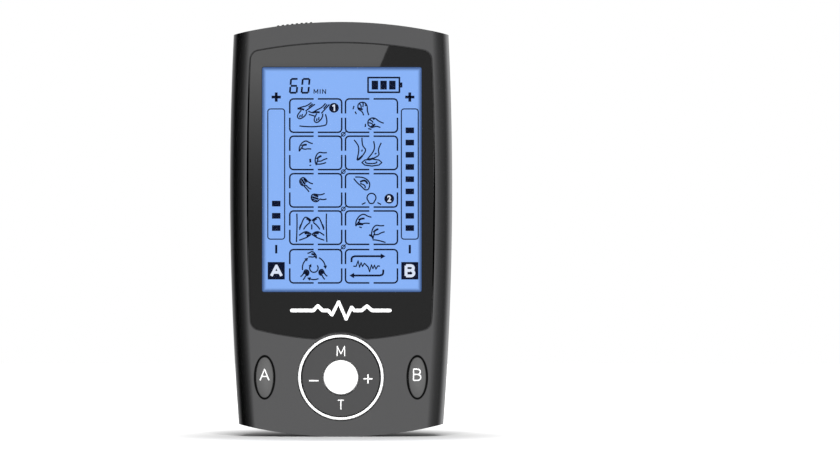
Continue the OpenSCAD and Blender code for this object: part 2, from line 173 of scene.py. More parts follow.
@dataclass(frozen=True)
class Moulded(Finish):
    """Plastic or rubber moulded against a spark-eroded tool: fine grain, and slow drifts of gloss and tone.

    Attributes:
        grain_mm: Spacing of the grain. The real one, near 0.08 mm, is too fine to show, so it is coarser.
        height_mm: Height of the grain.
        drift_mm: Size of the slow patches that handling and the mould's flow leave.
        tone: Share by which the patches lighten and darken the colour.
    """

    grain_mm: float = 0.3
    height_mm: float = 0.006
    drift_mm: float = 24.0
    tone: float = 0.05

    def dress(self, tree: bpy.types.NodeTree, shader: bpy.types.Node) -> None:
        """Adds the grain as bump, and the drift to colour and roughness."""
        where = self.place(tree)
        spacing = {"Vector": where, "Scale": 1 / (self.grain_mm * MM), "Detail": 3.0}
        grain = add_node(tree, "TexNoise", {}, spacing).outputs[0]
        relief = {"Height": grain, "Distance": self.height_mm * MM, "Strength": 0.6}
        tree.links.new(add_node(tree, "Bump", {}, relief).outputs[0], shader.inputs["Normal"])
        patches = {"Vector": where, "Scale": 1 / (self.drift_mm * MM), "Detail": 2.0}
        drift = add_node(tree, "TexNoise", {}, patches).outputs[0]
        sway = self.roughness * 0.12
        gloss = {"Value": drift, "To Min": self.roughness - sway, "To Max": self.roughness + sway}
        tree.links.new(add_node(tree, "MapRange", {}, gloss).outputs[0], shader.inputs["Roughness"])
        red, green, blue, _ = linear(self.colour)
        shades = [(red * share, green * share, blue * share, 1) for share in (1 - self.tone, 1 + self.tone)]
        tone = add_node(tree, "Mix", {"data_type": "RGBA"}, {0: drift, 6: shades[0], 7: shades[1]})
        tree.links.new(tone.outputs[2], shader.inputs["Base Color"])


@dataclass(frozen=True)
class Brushed(Finish):
    """Rolled or plated metal with fine lines along Z from the rolling.

    Attributes:
        line_mm: Spacing of the lines.
        height_mm: Height of the lines.
    """

    line_mm: float = 0.12
    height_mm: float = 0.003
    metallic: float = 1.0

    def dress(self, tree: bpy.types.NodeTree, shader: bpy.types.Node) -> None:
        """Adds lines stretched along Z to roughness and bump."""
        stretch = {"Vector": self.place(tree), "Scale": (1.0, 1.0, 0.04)}
        along = add_node(tree, "Mapping", {}, stretch).outputs[0]
        spacing = {"Vector": along, "Scale": 1 / (self.line_mm * MM), "Detail": 2.0}
        lines = add_node(tree, "TexNoise", {}, spacing).outputs[0]
        sway = self.roughness * 0.3
        gloss = {"Value": lines, "To Min": self.roughness - sway, "To Max": self.roughness + sway}
        tree.links.new(add_node(tree, "MapRange", {}, gloss).outputs[0], shader.inputs["Roughness"])
        relief = {"Height": lines, "Distance": self.height_mm * MM, "Strength": 0.5}
        tree.links.new(add_node(tree, "Bump", {}, relief).outputs[0], shader.inputs["Normal"])


@dataclass(frozen=True)
class ScreenGlow(Finish):
    """A liquid crystal panel lit from behind: even blue, darkened by painted shade towards the edge of its opening.

    Attributes:
        painted_shade_colour: sRGB hex colour of the painted shade right at the opening's edge.
        middle: Place of the middle of the opening.
        half: Half width and half height of the opening.
        shade_mm: Width of the border of painted shade.
        mottle_mm: Size of the patches that the light guide's dots leave.
    """

    # Colour of the painted shade at the opening's edge
    painted_shade_colour: str = "46649a"
    middle: Point = (0.0, 0.0)
    half: Point = (1.0, 1.0)
    shade_mm: float = 1.2
    mottle_mm: float = 18.0

    def dress(self, tree: bpy.types.NodeTree, shader: bpy.types.Node) -> None:
        """Adds the glow, its border of painted shade and the faint mottle of the light guide's dots."""
        parts = add_node(tree, "SeparateXYZ", {}, {0: self.place(tree)})
        gaps = []
        for axis, middle, half in zip("XZ", self.middle, self.half):
            offset = {0: parts.outputs[axis], 1: middle * MM}
            off = add_node(tree, "Math", {"operation": "SUBTRACT"}, offset).outputs[0]
            away = add_node(tree, "Math", {"operation": "ABSOLUTE"}, {0: off}).outputs[0]
            gaps.append(add_node(tree, "Math", {"operation": "SUBTRACT"}, {0: half * MM, 1: away}).outputs[0])
        nearest = add_node(tree, "Math", {"operation": "MINIMUM"}, dict(enumerate(gaps))).outputs[0]
        # Painted shade: the blue falls to the shade colour within shade_mm of the opening's edge, standing in for
        # the shade the opening casts
        border = {"Value": nearest, "From Min": 0.0, "From Max": self.shade_mm * MM}
        lit = add_node(tree, "MapRange", {"interpolation_type": "SMOOTHSTEP"}, border).outputs[0]
        shades = {0: lit, 6: linear(self.painted_shade_colour), 7: linear(self.colour)}
        glow = add_node(tree, "Mix", {"data_type": "RGBA"}, shades).outputs[2]
        dots = {"Vector": self.place(tree), "Scale": 1 / (self.mottle_mm * MM), "Detail": 1.0}
        mottle = add_node(tree, "TexNoise", {}, dots).outputs[0]
        even = add_node(tree, "MapRange", {}, {"Value": mottle, "To Min": 0.97, "To Max": 1.03}).outputs[0]
        product = {"data_type": "RGBA", "blend_type": "MULTIPLY"}
        scaled = add_node(tree, "Mix", product, {0: 1.0, 6: glow, 7: even})
        tree.links.new(scaled.outputs[2], shader.inputs["Emission Color"])
        shader.inputs["Emission Strength"].default_value = 1.0
        shader.inputs["Base Color"].default_value = linear("0a0f18")


@dataclass(frozen=True)
class ClearSheet(Finish):
    """Clear acrylic with a low-glare face, thin enough to be a tint.

    Attributes:
        alpha: How much of what lies behind it the tint covers.
        haze_mm: Spacing of the low-glare grain, drawn coarser than the real 0.05 mm so that it shows.
    """

    alpha: float = 0.05
    haze_mm: float = 0.4

    def dress(self, tree: bpy.types.NodeTree, shader: bpy.types.Node) -> None:
        """Makes the sheet clear, with a faint haze in its face."""
        shader.inputs["Alpha"].default_value = self.alpha
        spacing = {"Vector": self.place(tree), "Scale": 1 / (self.haze_mm * MM), "Detail": 2.0}
        haze = add_node(tree, "TexNoise", {}, spacing).outputs[0]
        gloss = {"Value": haze, "To Min": self.roughness - 0.03, "To Max": self.roughness + 0.03}
        tree.links.new(add_node(tree, "MapRange", {}, gloss).outputs[0], shader.inputs["Roughness"])


# Metal-filled lacquer over moulded ABS: it mirrors its surroundings softly, so the rolled sides go dark
LACQUERED_ABS = Moulded(
    "lacquered_abs_grey", "868687", 0.19, 0.995, grain_mm=0.3, height_mm=0.0014, drift_mm=30.0, tone=0.02
)
# The same lacquer, a shade darker, over the pad
LACQUERED_PAD = Moulded(
    "lacquered_abs_pad", "7f7f80", 0.21, 0.995, grain_mm=0.3, height_mm=0.0014, drift_mm=14.0, tone=0.02
)
# Paler lacquer over the channel keys
LACQUERED_KEY = Moulded(
    "lacquered_abs_key", "a8a8a8", 0.21, 0.995, grain_mm=0.3, height_mm=0.0014, drift_mm=9.0, tone=0.02
)
# Bare black-grey ABS with the tool's grain: broad soft gloss
GRAINED_ABS = Moulded(
    "grained_abs_black", "323233", 0.5, ior=1.53, grain_mm=0.35, height_mm=0.02, drift_mm=26.0, tone=0.08
)
# Acrylic printed black on its back face: deep black under a clean polished gloss
PRINTED_ACRYLIC = Moulded(
    "printed_acrylic_black", "050505", 0.008, 0.0, 1.49, grain_mm=8.0, height_mm=0.0004,
    drift_mm=30.0, tone=0.04
)
CLEAR_ACRYLIC = ClearSheet("clear_acrylic_low_glare", "0b0d12", 0.16, 0.0, 1.49)
# Pad-printed ink: dead flat and opaque
WHITE_INK = Moulded(
    "pad_print_white", "f4f4f4", 0.6, grain_mm=0.2, height_mm=0.003, drift_mm=6.0, tone=0.01
)
# Polished white ABS: bright, with a soft gloss
WHITE_ABS = Moulded(
    "polished_abs_white", "fafafa", 0.3, ior=1.53, grain_mm=0.5, height_mm=0.002, drift_mm=10.0, tone=0.01
)
BLACK_ACETAL = Moulded(
    "moulded_acetal_black", "131313", 0.42, ior=1.48, grain_mm=0.3, height_mm=0.01, drift_mm=5.0, tone=0.08
)
BLACK_NYLON = Moulded(
    "moulded_nylon_black", "101011", 0.45, ior=1.53, grain_mm=0.3, height_mm=0.012, drift_mm=6.0, tone=0.08
)
CRYSTAL_DARK = Moulded(
    "liquid_crystal_segment", "0a1024", 0.5, specular=0.0, grain_mm=0.5, height_mm=0.001,
    drift_mm=8.0, tone=0.05
)
ZINC_STEEL = Brushed("zinc_plated_steel", "9a9ca0", 0.32)
NICKEL_STEEL = Brushed("nickel_plated_steel", "b9bcc0", 0.25)
TINNED_BRASS = Brushed("tinned_brass", "c9c4b4", 0.3)
SILICONE = Moulded(
    "moulded_silicone_grey", "b9b9b4", 0.7, ior=1.41, grain_mm=0.3, height_mm=0.01, drift_mm=8.0, tone=0.05
)
CARBON_SILICONE = Moulded(
    "carbon_filled_silicone", "202020", 0.75, ior=1.41, grain_mm=0.2, height_mm=0.01, drift_mm=3.0, tone=0.08
)
BOARD = Moulded(
    "solder_mask_green", "1d5a35", 0.35, ior=1.55, coat=0.3, grain_mm=0.8, height_mm=0.02,
    drift_mm=12.0, tone=0.12
)
WHITE_POLYCARBONATE = Moulded(
    "moulded_polycarbonate_white", "e8e8e4", 0.4, ior=1.58, grain_mm=0.3, height_mm=0.006,
    drift_mm=14.0, tone=0.03
)
LIGHT_GUIDE = Moulded(
    "acrylic_light_guide", "dfe9ff", 0.15, ior=1.49, grain_mm=0.6, height_mm=0.004, drift_mm=10.0, tone=0.02
)
LED_RESIN = Moulded(
    "led_phosphor_resin", "fff4c0", 0.35, grain_mm=0.3, height_mm=0.004, drift_mm=3.0, tone=0.04
)
POUCH_FOIL = Brushed("laminated_pouch_foil", "b7bcc4", 0.35)
FOAM = Moulded(
    "closed_cell_foam_black", "2c2c2c", 0.9, ior=1.4, grain_mm=0.5, height_mm=0.06, drift_mm=6.0, tone=0.1
)
PVC = Moulded(
    "pvc_insulation_red", "a01818", 0.45, ior=1.53, grain_mm=0.3, height_mm=0.004, drift_mm=4.0, tone=0.05
)
CREAM_NYLON = Moulded(
    "moulded_nylon_cream", "ece8dc", 0.45, ior=1.53, grain_mm=0.3, height_mm=0.006, drift_mm=4.0, tone=0.03
)
FERRITE = Moulded(
    "pressed_ferrite", "2f2a26", 0.65, 0.2, ior=1.8, grain_mm=0.3, height_mm=0.02, drift_mm=4.0, tone=0.1
)
CAN_SLEEVE = Moulded(
    "sleeved_aluminium_can", "39424e", 0.4, coat=0.2, grain_mm=0.4, height_mm=0.004, drift_mm=4.0, tone=0.05
)
CHIP_EPOXY = Moulded(
    "transfer_moulded_epoxy", "1a1a1c", 0.6, ior=1.55, grain_mm=0.3, height_mm=0.01, drift_mm=3.0, tone=0.08
)


# ------------------------------------------------------------------------------------------------ shaping


class Solid:
    """A closed mesh being shaped, in millimetres."""

    def __init__(self) -> None:
        """Starts with nothing."""
        self.bm = bmesh.new()

    @classmethod
    def of_node(cls, node: str) -> "Solid":
        """Starts from a merged copy of a CAD node, with its flats made whole.

        Args:
            node: Name of the CAD node.

        Returns:
            The copy.
        """
        made = cls()
        made.bm.from_mesh(bpy.data.objects[node].data)
        bmesh.ops.scale(made.bm, vec=(1 / MM,) * 3, verts=made.bm.verts)
        bmesh.ops.remove_doubles(made.bm, verts=made.bm.verts, dist=0.001)
        bmesh.ops.dissolve_limit(
            made.bm, angle_limit=math.radians(0.4), verts=made.bm.verts, edges=made.bm.edges
        )
        return made

    @classmethod
    def box(cls, low: Sequence[float], high: Sequence[float], corner: float = 0.0, along: int = 1) -> "Solid":
        """Makes a box, with the four edges along one axis rounded.

        Args:
            low: Lowest corner.
            high: Highest corner.
            corner: Radius of the rounded edges, or 0.
            along: Axis that the rounded edges run along.

        Returns:
            The box.
        """
        made = cls()
        bmesh.ops.create_cube(made.bm, size=1)
        size = [h - l for l, h in zip(low, high)]
        bmesh.ops.scale(made.bm, vec=size, verts=made.bm.verts)
        bmesh.ops.translate(made.bm, vec=[(h + l) / 2 for l, h in zip(low, high)], verts=made.bm.verts)
        if corner:

            def runs_along(edge: bmesh.types.BMEdge) -> bool:
                """Tests whether an edge lies along the axis."""
                start, end = (vert.co for vert in edge.verts)
                return abs((start - end).normalized()[along]) > 0.99

            made.round_edges(corner, 6, runs_along)
        return made

    @classmethod
    def turned(cls, profile: Sequence[Point], centre: Point, steps: int = 128) -> "Solid":
        """Turns a profile about a line along Y.

        Args:
            profile: Radius and depth of each point, in order round the section.
            centre: X and Z of the line.
            steps: Steps in a full turn.

        Returns:
            The turned solid.
        """
        made = cls()
        axis = Vector((centre[0], 0, centre[1]))
        verts = [made.bm.verts.new(axis + Vector((r, y, 0))) for r, y in profile]
        closed = profile[0][0] > 0
        pairs = zip(verts, verts[1:] + verts[:1]) if closed else zip(verts, verts[1:])
        edges = [made.bm.edges.new(pair) for pair in pairs]
        bmesh.ops.spin(
            made.bm,
            geom=verts + edges,
            cent=axis,
            axis=(0, 1, 0),
            angle=math.tau,
            steps=steps,
            use_merge=True,
        )
        bmesh.ops.remove_doubles(made.bm, verts=made.bm.verts, dist=0.0005)
        bmesh.ops.recalc_face_normals(made.bm, faces=made.bm.faces)
        return made

    def join(self, *others: "Solid") -> "Solid":
        """Takes other solids in, side by side."""
        for other in others:
            mesh = bpy.data.meshes.new("joined")
            other.bm.to_mesh(mesh)
            self.bm.from_mesh(mesh)
            bpy.data.meshes.remove(mesh)
        return self

    def move(self, x: float = 0.0, y: float = 0.0, z: float = 0.0) -> "Solid":
        """Moves the whole solid."""
        bmesh.ops.translate(self.bm, vec=(x, y, z), verts=self.bm.verts)
        return self

    def grow(self, factors: Sequence[float], about: Sequence[float]) -> "Solid":
        """Scales the whole solid about a point."""
        bmesh.ops.scale(self.bm, vec=factors, space=Matrix.Translation(-Vector(about)), verts=self.bm.verts)
        return self

    def round_edges(
        self, width: float, segments: int, pick: Callable[[bmesh.types.BMEdge], bool] | None = None
    ) -> "Solid":
        """Rounds edges.

        Args:
            width: Radius of the rounding.
            segments: Steps across the rounding.
            pick: Test of an edge; without one, every sharp edge is rounded.

        Returns:
            This solid.
        """
        chosen = [
            e
            for e in self.bm.edges
            if (pick(e) if pick else len(e.link_faces) == 2 and e.calc_face_angle(0) > SHARP)
        ]
        bmesh.ops.bevel(
            self.bm,
            geom=chosen,
            offset=width,
            affect="EDGES",
            segments=segments,
            profile=0.5,
            material=-1,
            clamp_overlap=True,
        )
        bmesh.ops.remove_doubles(self.bm, verts=self.bm.verts, dist=0.002)
        return self

    def carve(self, *tools: "Solid") -> "Solid":
        """Cuts other solids out of this one.

        Args:
            tools: Solids to cut with, in order.

        Returns:
            This solid.
        """
        scene = bpy.context.scene.collection
        objects = []
        for solid in (self, *tools):
            mesh = bpy.data.meshes.new("carving")
            solid.bm.to_mesh(mesh)
            objects.append(bpy.data.objects.new("carving", mesh))
            scene.objects.link(objects[-1])
        for tool in objects[1:]:
            cut = objects[0].modifiers.new("cut", "BOOLEAN")
            cut.object, cut.operation, cut.solver = tool, "DIFFERENCE", "EXACT"
        graph = bpy.context.evaluated_depsgraph_get()
        result = bpy.data.meshes.new_from_object(objects[0].evaluated_get(graph))
        self.bm.clear()
        self.bm.from_mesh(result)
        for used in objects:
            mesh = used.data
            bpy.data.objects.remove(used)
            bpy.data.meshes.remove(mesh)
        bpy.data.meshes.remove(result)
        bmesh.ops.remove_doubles(self.bm, verts=self.bm.verts, dist=0.0005)
        self.drop_scraps()
        return self

    def drop_scraps(self) -> None:
        """Removes the scraps of a cut: groups of joined faces too few to close a solid."""
        waiting = set(self.bm.faces)
        scraps: list[bmesh.types.BMFace] = []
        while waiting:
            group = {waiting.pop()}
            rim = list(group)
            while rim:
                sound = [edge for edge in rim.pop().edges if len(edge.link_faces) == 2]
                found = {face for edge in sound for face in edge.link_faces} & waiting
                waiting -= found
                group |= found
                rim += found
            if len(group) < 4:
                scraps += group
        bmesh.ops.delete(self.bm, geom=scraps, context="FACES")

    def rims(self, y: float, outward: float) -> Callable[[bmesh.types.BMEdge], bool]:
        """Returns a test for the edges where holes or walls break a flat face.

        Args:
            y: Depth of the flat face.
            outward: -1 for a face towards the front, 1 towards the back.
        """

        def is_rim(edge: bmesh.types.BMEdge) -> bool:
            """Tests one edge."""
            if len(edge.link_faces) != 2 or any(abs(v.co.y - y) > 0.002 for v in edge.verts):
                return False
            facing = sorted(f.normal.y * outward for f in edge.link_faces)
            return facing[1] > 0.98 and abs(facing[0]) < 0.3

        return is_rim

    def finish(
        self, name: str, body: str, surface: Finish, slot: str, nodes: Iterable[str] = ()
    ) -> bpy.types.Object:
        """Makes the piece: brings it to metres, smooths its shading and sets it riding.

        Args:
            name: Name of the piece.
            body: CAD body that it moves with.
            surface: Its finish.
            slot: Material slot of the record that the finish belongs to; not used.
            nodes: CAD nodes that it stands for.

        Returns:
            The piece's object.
        """
        self.drop_scraps()
        slits = [edge for edge in self.bm.edges if len(edge.link_faces) == 1]
        bmesh.ops.holes_fill(self.bm, edges=slits, sides=0)
        bmesh.ops.scale(self.bm, vec=(MM,) * 3, verts=self.bm.verts)
        open_edges = sum(len(e.link_faces) != 2 for e in self.bm.edges)
        if open_edges or not self.bm.faces:
            LOG.warning("%s: %d faces and %d open edges", name, len(self.bm.faces), open_edges)
        for face in self.bm.faces:
            face.smooth = True
        for edge in self.bm.edges:
            edge.smooth = len(edge.link_faces) == 2 and edge.calc_face_angle(0) < SHARP
        mesh = bpy.data.meshes.new(name)
        self.bm.to_mesh(mesh)
        self.bm.free()
        mesh.materials.append(surface.material())
        piece = bpy.data.objects.new(name, mesh)
        bpy.context.scene.collection.objects.link(piece)
        even = piece.modifiers.new("even_shading", "WEIGHTED_NORMAL")
        even.keep_sharp = True
        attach(piece, body)
        if nodes:
            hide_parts(*nodes)
        LOG.info("%s: %d faces on %s", name, len(mesh.polygons), body)
        return piece


@dataclass(frozen=True)
class Stroke:
    """One stroke of a mark: its points, its width, and whether it is smooth and runs back to its start."""

    points: Sequence[Point]
    width: float
    smooth: bool
    closed: bool


class Print:
    """Flat marks on a plane that faces the front, drawn by their X and Z in millimetres."""

    def __init__(self) -> None:
        """Starts a blank print."""
        self.flat = bmesh.new()
        self.strokes: list[Stroke] = []

    def bar(self, x: float, z: float, width: float, height: float, slant: float = 0.0) -> "Print":
        """Adds a filled bar by its middle, leaning to the right by slant times its height."""
        found = bmesh.ops.create_cube(self.flat, size=1)["verts"]
        bmesh.ops.scale(self.flat, vec=(width, height, 1), verts=found)
        for vert in found:
            vert.co += Vector((x + slant * vert.co.y, z, 0.5))
        return self

    def disc(self, x: float, z: float, radius: float, sides: int = 40, turn: float = 0.0) -> "Print":
        """Adds a filled disc, or a regular polygon with a corner at its top, turned to the left."""
        bmesh.ops.create_cone(
            self.flat,
            cap_ends=True,
            segments=sides,
            radius1=radius,
            radius2=radius,
            depth=1,
            matrix=Matrix.Translation((x, z, 0.5)) @ Matrix.Rotation(turn, 4, "Z"),
        )
        return self

    def line(
        self, points: Sequence[Point], width: float, smooth: bool = False, closed: bool = False
    ) -> "Print":
        """Adds a stroke.

        Args:
            points: Its points.
            width: Its width.
            smooth: True to draw a smooth curve near the points.
            closed: True to run back to the first point.

        Returns:
            This print.
        """
        self.strokes.append(Stroke(points, width, smooth, closed))
        return self

    def capital(self, letter: str, x: float, z: float, width: float, height: float, weight: float) -> "Print":
        """Adds a plain drawn capital: A, B, I, M, N or T.

        Args:
            letter: Which capital.
            x: Middle across.
            z: Middle up.
            width: Width over the strokes.
            height: Height over the strokes.
            weight: Width of the strokes.

        Returns:
            This print.
        """
        w, h = (width - weight) / 2, (height - weight) / 2
        bowls = [
            (-w, -h), *ellipse(w - 0.58 * h, -0.47 * h, 0.58 * h, 0.53 * h, -90, 90, 8),
            *ellipse(w - 0.62 * h, 0.53 * h, 0.52 * h, 0.47 * h, -90, 90, 8), (-w, h),
        ]
        shapes = {
            "A": [[(-w, -h), (0, h), (w, -h)], [(-0.62 * w, -0.3 * h), (0.62 * w, -0.3 * h)]],
            "B": [[(-w, -h), (-w, h)], bowls, [(-w, 0.06 * h), (w - 0.7 * h, 0.06 * h)]],
            "I": [[(0, -h), (0, h)]],
            "M": [[(-w, -h), (-w, h), (0, -0.55 * h), (w, h), (w, -h)]],
            "N": [[(-w, -h), (-w, h), (w, -h), (w, h)]],
            "T": [[(-w, h), (w, h)], [(0, h), (0, -h)]],
        }
        for stroke in shapes[letter]:
            self.line([(x + a, z + b) for a, b in stroke], weight)
        return self

    def letters(
        self, text: str, x: float, z: float, width: float, height: float, weight: float = 0.0
    ) -> "Print":
        """Adds lettering, fitted to a width and height round its middle.

        Args:
            text: What to write.
            x: Middle across.
            z: Middle up.
            width: Width of the whole text.
            height: Height of a capital.
            weight: How far the outline is fattened, as a share of the letters' size.

        Returns:
            This print.
        """
        curve = bpy.data.curves.new("letters", "FONT")
        curve.body, curve.extrude, curve.offset, curve.resolution_u = text, 0.5, weight, 6
        first = len(self.flat.verts)
        self._take(curve)
        self.flat.verts.ensure_lookup_table()
        new = self.flat.verts[first:]
        low = [min(v.co[i] for v in new) for i in range(2)]
        high = [max(v.co[i] for v in new) for i in range(2)]
        for vert in new:
            across = (vert.co.x - (low[0] + high[0]) / 2) / (high[0] - low[0])
            up = (vert.co.y - (low[1] + high[1]) / 2) / (high[1] - low[1])
            vert.co = Vector((x + across * width, z + up * height, vert.co.z + 0.5))
        return self

    def _take(self, curve: bpy.types.Curve) -> None:
        """Takes a curve's mesh into the print."""
        holder = bpy.data.objects.new("drawing", curve)
        bpy.context.scene.collection.objects.link(holder)
        graph = bpy.context.evaluated_depsgraph_get()
        mesh = bpy.data.meshes.new_from_object(holder.evaluated_get(graph))
        joined = bmesh.new()
        joined.from_mesh(mesh)
        bmesh.ops.remove_doubles(joined, verts=joined.verts, dist=0.0002)
        joined.to_mesh(mesh)
        joined.free()
        self.flat.from_mesh(mesh)
        bpy.data.objects.remove(holder)
        bpy.data.curves.remove(curve)
        bpy.data.meshes.remove(mesh)

    @staticmethod
    def _square_off(points: Sequence[Point], reach: float, closed: bool) -> list[Point]:
        """Splits each sharp corner in two, so that a stroke keeps its width right up to it.

        Args:
            points: The stroke's points.
            reach: Distance of the two new points from the corner.
            closed: True when the stroke runs back to its first point.

        Returns:
            The new points.
        """
        whole = [Vector(p) for p in points]
        kept: list[Vector] = []
        for number, corner in enumerate(whole):
            before, after = whole[number - 1], whole[(number + 1) % len(whole)]
            is_end = not closed and number in (0, len(whole) - 1)
            if is_end or (corner - before).angle(after - corner) < math.radians(20):
                kept.append(corner)
            else:
                kept.append(corner + (before - corner).normalized() * reach)
                kept.append(corner + (after - corner).normalized() * reach)
        return [(p.x, p.y) for p in kept]

    def _draw_strokes(self) -> None:
        """Turns the collected strokes to flattened bars with round ends."""
        for stroke in self.strokes:
            points = stroke.points
            if not stroke.smooth:
                points = self._square_off(points, stroke.width * 0.1, stroke.closed)
            curve = bpy.data.curves.new("stroke", "CURVE")
            curve.dimensions, curve.bevel_depth, curve.bevel_resolution = "3D", stroke.width / 2, 2
            curve.use_fill_caps, curve.resolution_u = True, 5
            spline = curve.splines.new("NURBS" if stroke.smooth else "POLY")
            spline.points.add(len(points) - 1)
            for spot, (x, z) in zip(spline.points, points):
                spot.co = (x, z, 0, 1)
            spline.use_cyclic_u, spline.order_u = stroke.closed, 3
            spline.use_endpoint_u = not stroke.closed
            first = len(self.flat.verts)
            self._take(curve)
            self.flat.verts.ensure_lookup_table()
            for vert in self.flat.verts[first:]:
                vert.co.z = 0.5 + vert.co.z / stroke.width

    def solid(self, y: float, thickness: float) -> Solid:
        """Gives the marks their thickness and stands them on a plane.

        Args:
            y: Depth of the surface that carries them.
            thickness: How far they stand out of it, towards the front.

        Returns:
            The marks as a solid.
        """
        self._draw_strokes()
        upright = Matrix.Rotation(math.pi / 2, 4, "X") @ Matrix.Diagonal((1, 1, thickness, 1))
        bmesh.ops.transform(self.flat, matrix=Matrix.Translation((0, y, 0)) @ upright, verts=self.flat.verts)
        made = Solid()
        made.bm.free()
        made.bm = self.flat
        return made


def ellipse(
    x: float, z: float, across: float, up: float, start: float = 0.0, end: float = 360.0, n: int = 24
) -> list[Point]:
    """Points on an ellipse's arc.

    Args:
        x: Middle across.
        z: Middle up.
        across: Half width.
        up: Half height.
        start: First angle, in degrees from the right.
        end: Last angle, in degrees.
        n: Number of steps.

    Returns:
        The points, without the last one on a full ellipse.
    """
    count = n if end - start >= 360 else n + 1
    turns = [math.radians(start + (end - start) * i / n) for i in range(count)]
    return [(x + across * math.cos(t), z + up * math.sin(t)) for t in turns]


def rounded_box(low: Point, high: Point, radius: float) -> list[Point]:
    """Points round a box with rounded corners.

    Args:
        low: Lower left corner.
        high: Upper right corner.
        radius: Radius of the corners.

    Returns:
        The points, without the first one again.
    """
    near = (low[0] + radius, low[1] + radius)
    far = (high[0] - radius, high[1] - radius)
    points: list[Point] = []
    corners = (far, (near[0], far[1]), near, (far[0], near[1]))
    for quarter, (x, z) in enumerate(corners):
        points += ellipse(x, z, radius, radius, 90 * quarter, 90 * quarter + 90, 4)
    return points


# ------------------------------------------------------------------------------------------------- casings


@dataclass
class HousingForm:
    """The form that both casings share: long side arcs, a crown arc, a foot arc and rolled sides."""

    half_w: float
    height: float
    side_r: float = 849.0
    widest_z: float = 67.1
    crown_r: float = 126.0
    foot_r: float = 116.0
    wall: float = 1.6
    over: float = 1.0

    def half_width(self, z: float, inset: float) -> float:
        """Returns half the width at a height."""
        return self.half_w - self.side_r + math.sqrt((self.side_r - inset) ** 2 - (z - self.widest_z) ** 2)

    def crown(self, x: float, inset: float = 0.0) -> float:
        """Returns the height of the crown arc at a place across."""
        return self.height - self.crown_r + math.sqrt((self.crown_r - inset) ** 2 - x**2)

    def foot(self, x: float, inset: float = 0.0) -> float:
        """Returns the height of the foot arc at a place across."""
        return self.foot_r - math.sqrt((self.foot_r - inset) ** 2 - x**2)

    def blank(self, inset: float, seam_y: float, face_y: float, roll: float, edge: float) -> Solid:
        """Makes one half of the form as a solid block, from the seam to the face.

        Args:
            inset: How far it lies inside the outer form.
            seam_y: Depth of the seam.
            face_y: Depth of the flat face.
            roll: Radius of the rolled sides.
            edge: Radius of the small rounding along the crown and the foot, or 0.

        Returns:
            The block.
        """
        rolled, flat, rows = 14, 28, 26
        columns = 2 + 2 * rolled + flat
        outward = math.copysign(1, face_y - seam_y)
        made = Solid()
        bmesh.ops.create_grid(made.bm, x_segments=columns, y_segments=rows, size=0.5)
        ends: list[set] = [set(), set()]

        def station(column: int) -> tuple[float, float, float]:
            """Gives a column's side, its distance in from the side and its depth."""
            side = -1.0 if column <= columns / 2 else 1.0
            step = min(column, columns - column)
            if step == 0:
                return side, 0.0, seam_y
            turn = math.radians(90 * (1 - min(step - 1, rolled) / rolled))
            return side, roll * (1 - math.sin(turn)), face_y - outward * roll * (1 - math.cos(turn))

        for vert in made.bm.verts:
            column, along = round((vert.co.x + 0.5) * columns), vert.co.y + 0.5
            side, inward, depth = station(column)
            share = (column - 1 - rolled) / flat * 2 - 1
            z = along * self.height
            for _ in range(3):
                reach = self.half_width(z, inset)
                x = side * (reach - inward) if abs(share) > 1 else share * (reach - roll)
                z = self.foot(x, inset) + along * (self.crown(x, inset) - self.foot(x, inset))
            vert.co = (x, depth, z)
            if along < 1e-4:
                ends[0].add(vert)
            elif along > 1 - 1e-4:
                ends[1].add(vert)
        plate = [f for f in made.bm.faces if all(abs(v.co.y - face_y) < 1e-5 for v in f.verts)]
        bmesh.ops.dissolve_faces(made.bm, faces=plate, use_verts=False)
        rim = [e for e in made.bm.edges if any(set(e.verts) <= end for end in ends)]
        walls = bmesh.ops.extrude_edge_only(made.bm, edges=rim)["geom"]
        for vert in (g for g in walls if isinstance(g, bmesh.types.BMVert)):
            vert.co.y = seam_y
        bmesh.ops.remove_doubles(made.bm, verts=made.bm.verts, dist=0.0005)
        bmesh.ops.recalc_face_normals(made.bm, faces=made.bm.faces)
        if edge:
            made.round_edges(edge, 4)
        border = [e for e in made.bm.edges if e.is_boundary]
        bmesh.ops.edgeloop_fill(made.bm, edges=border)
        bmesh.ops.recalc_face_normals(made.bm, faces=made.bm.faces)
        return made


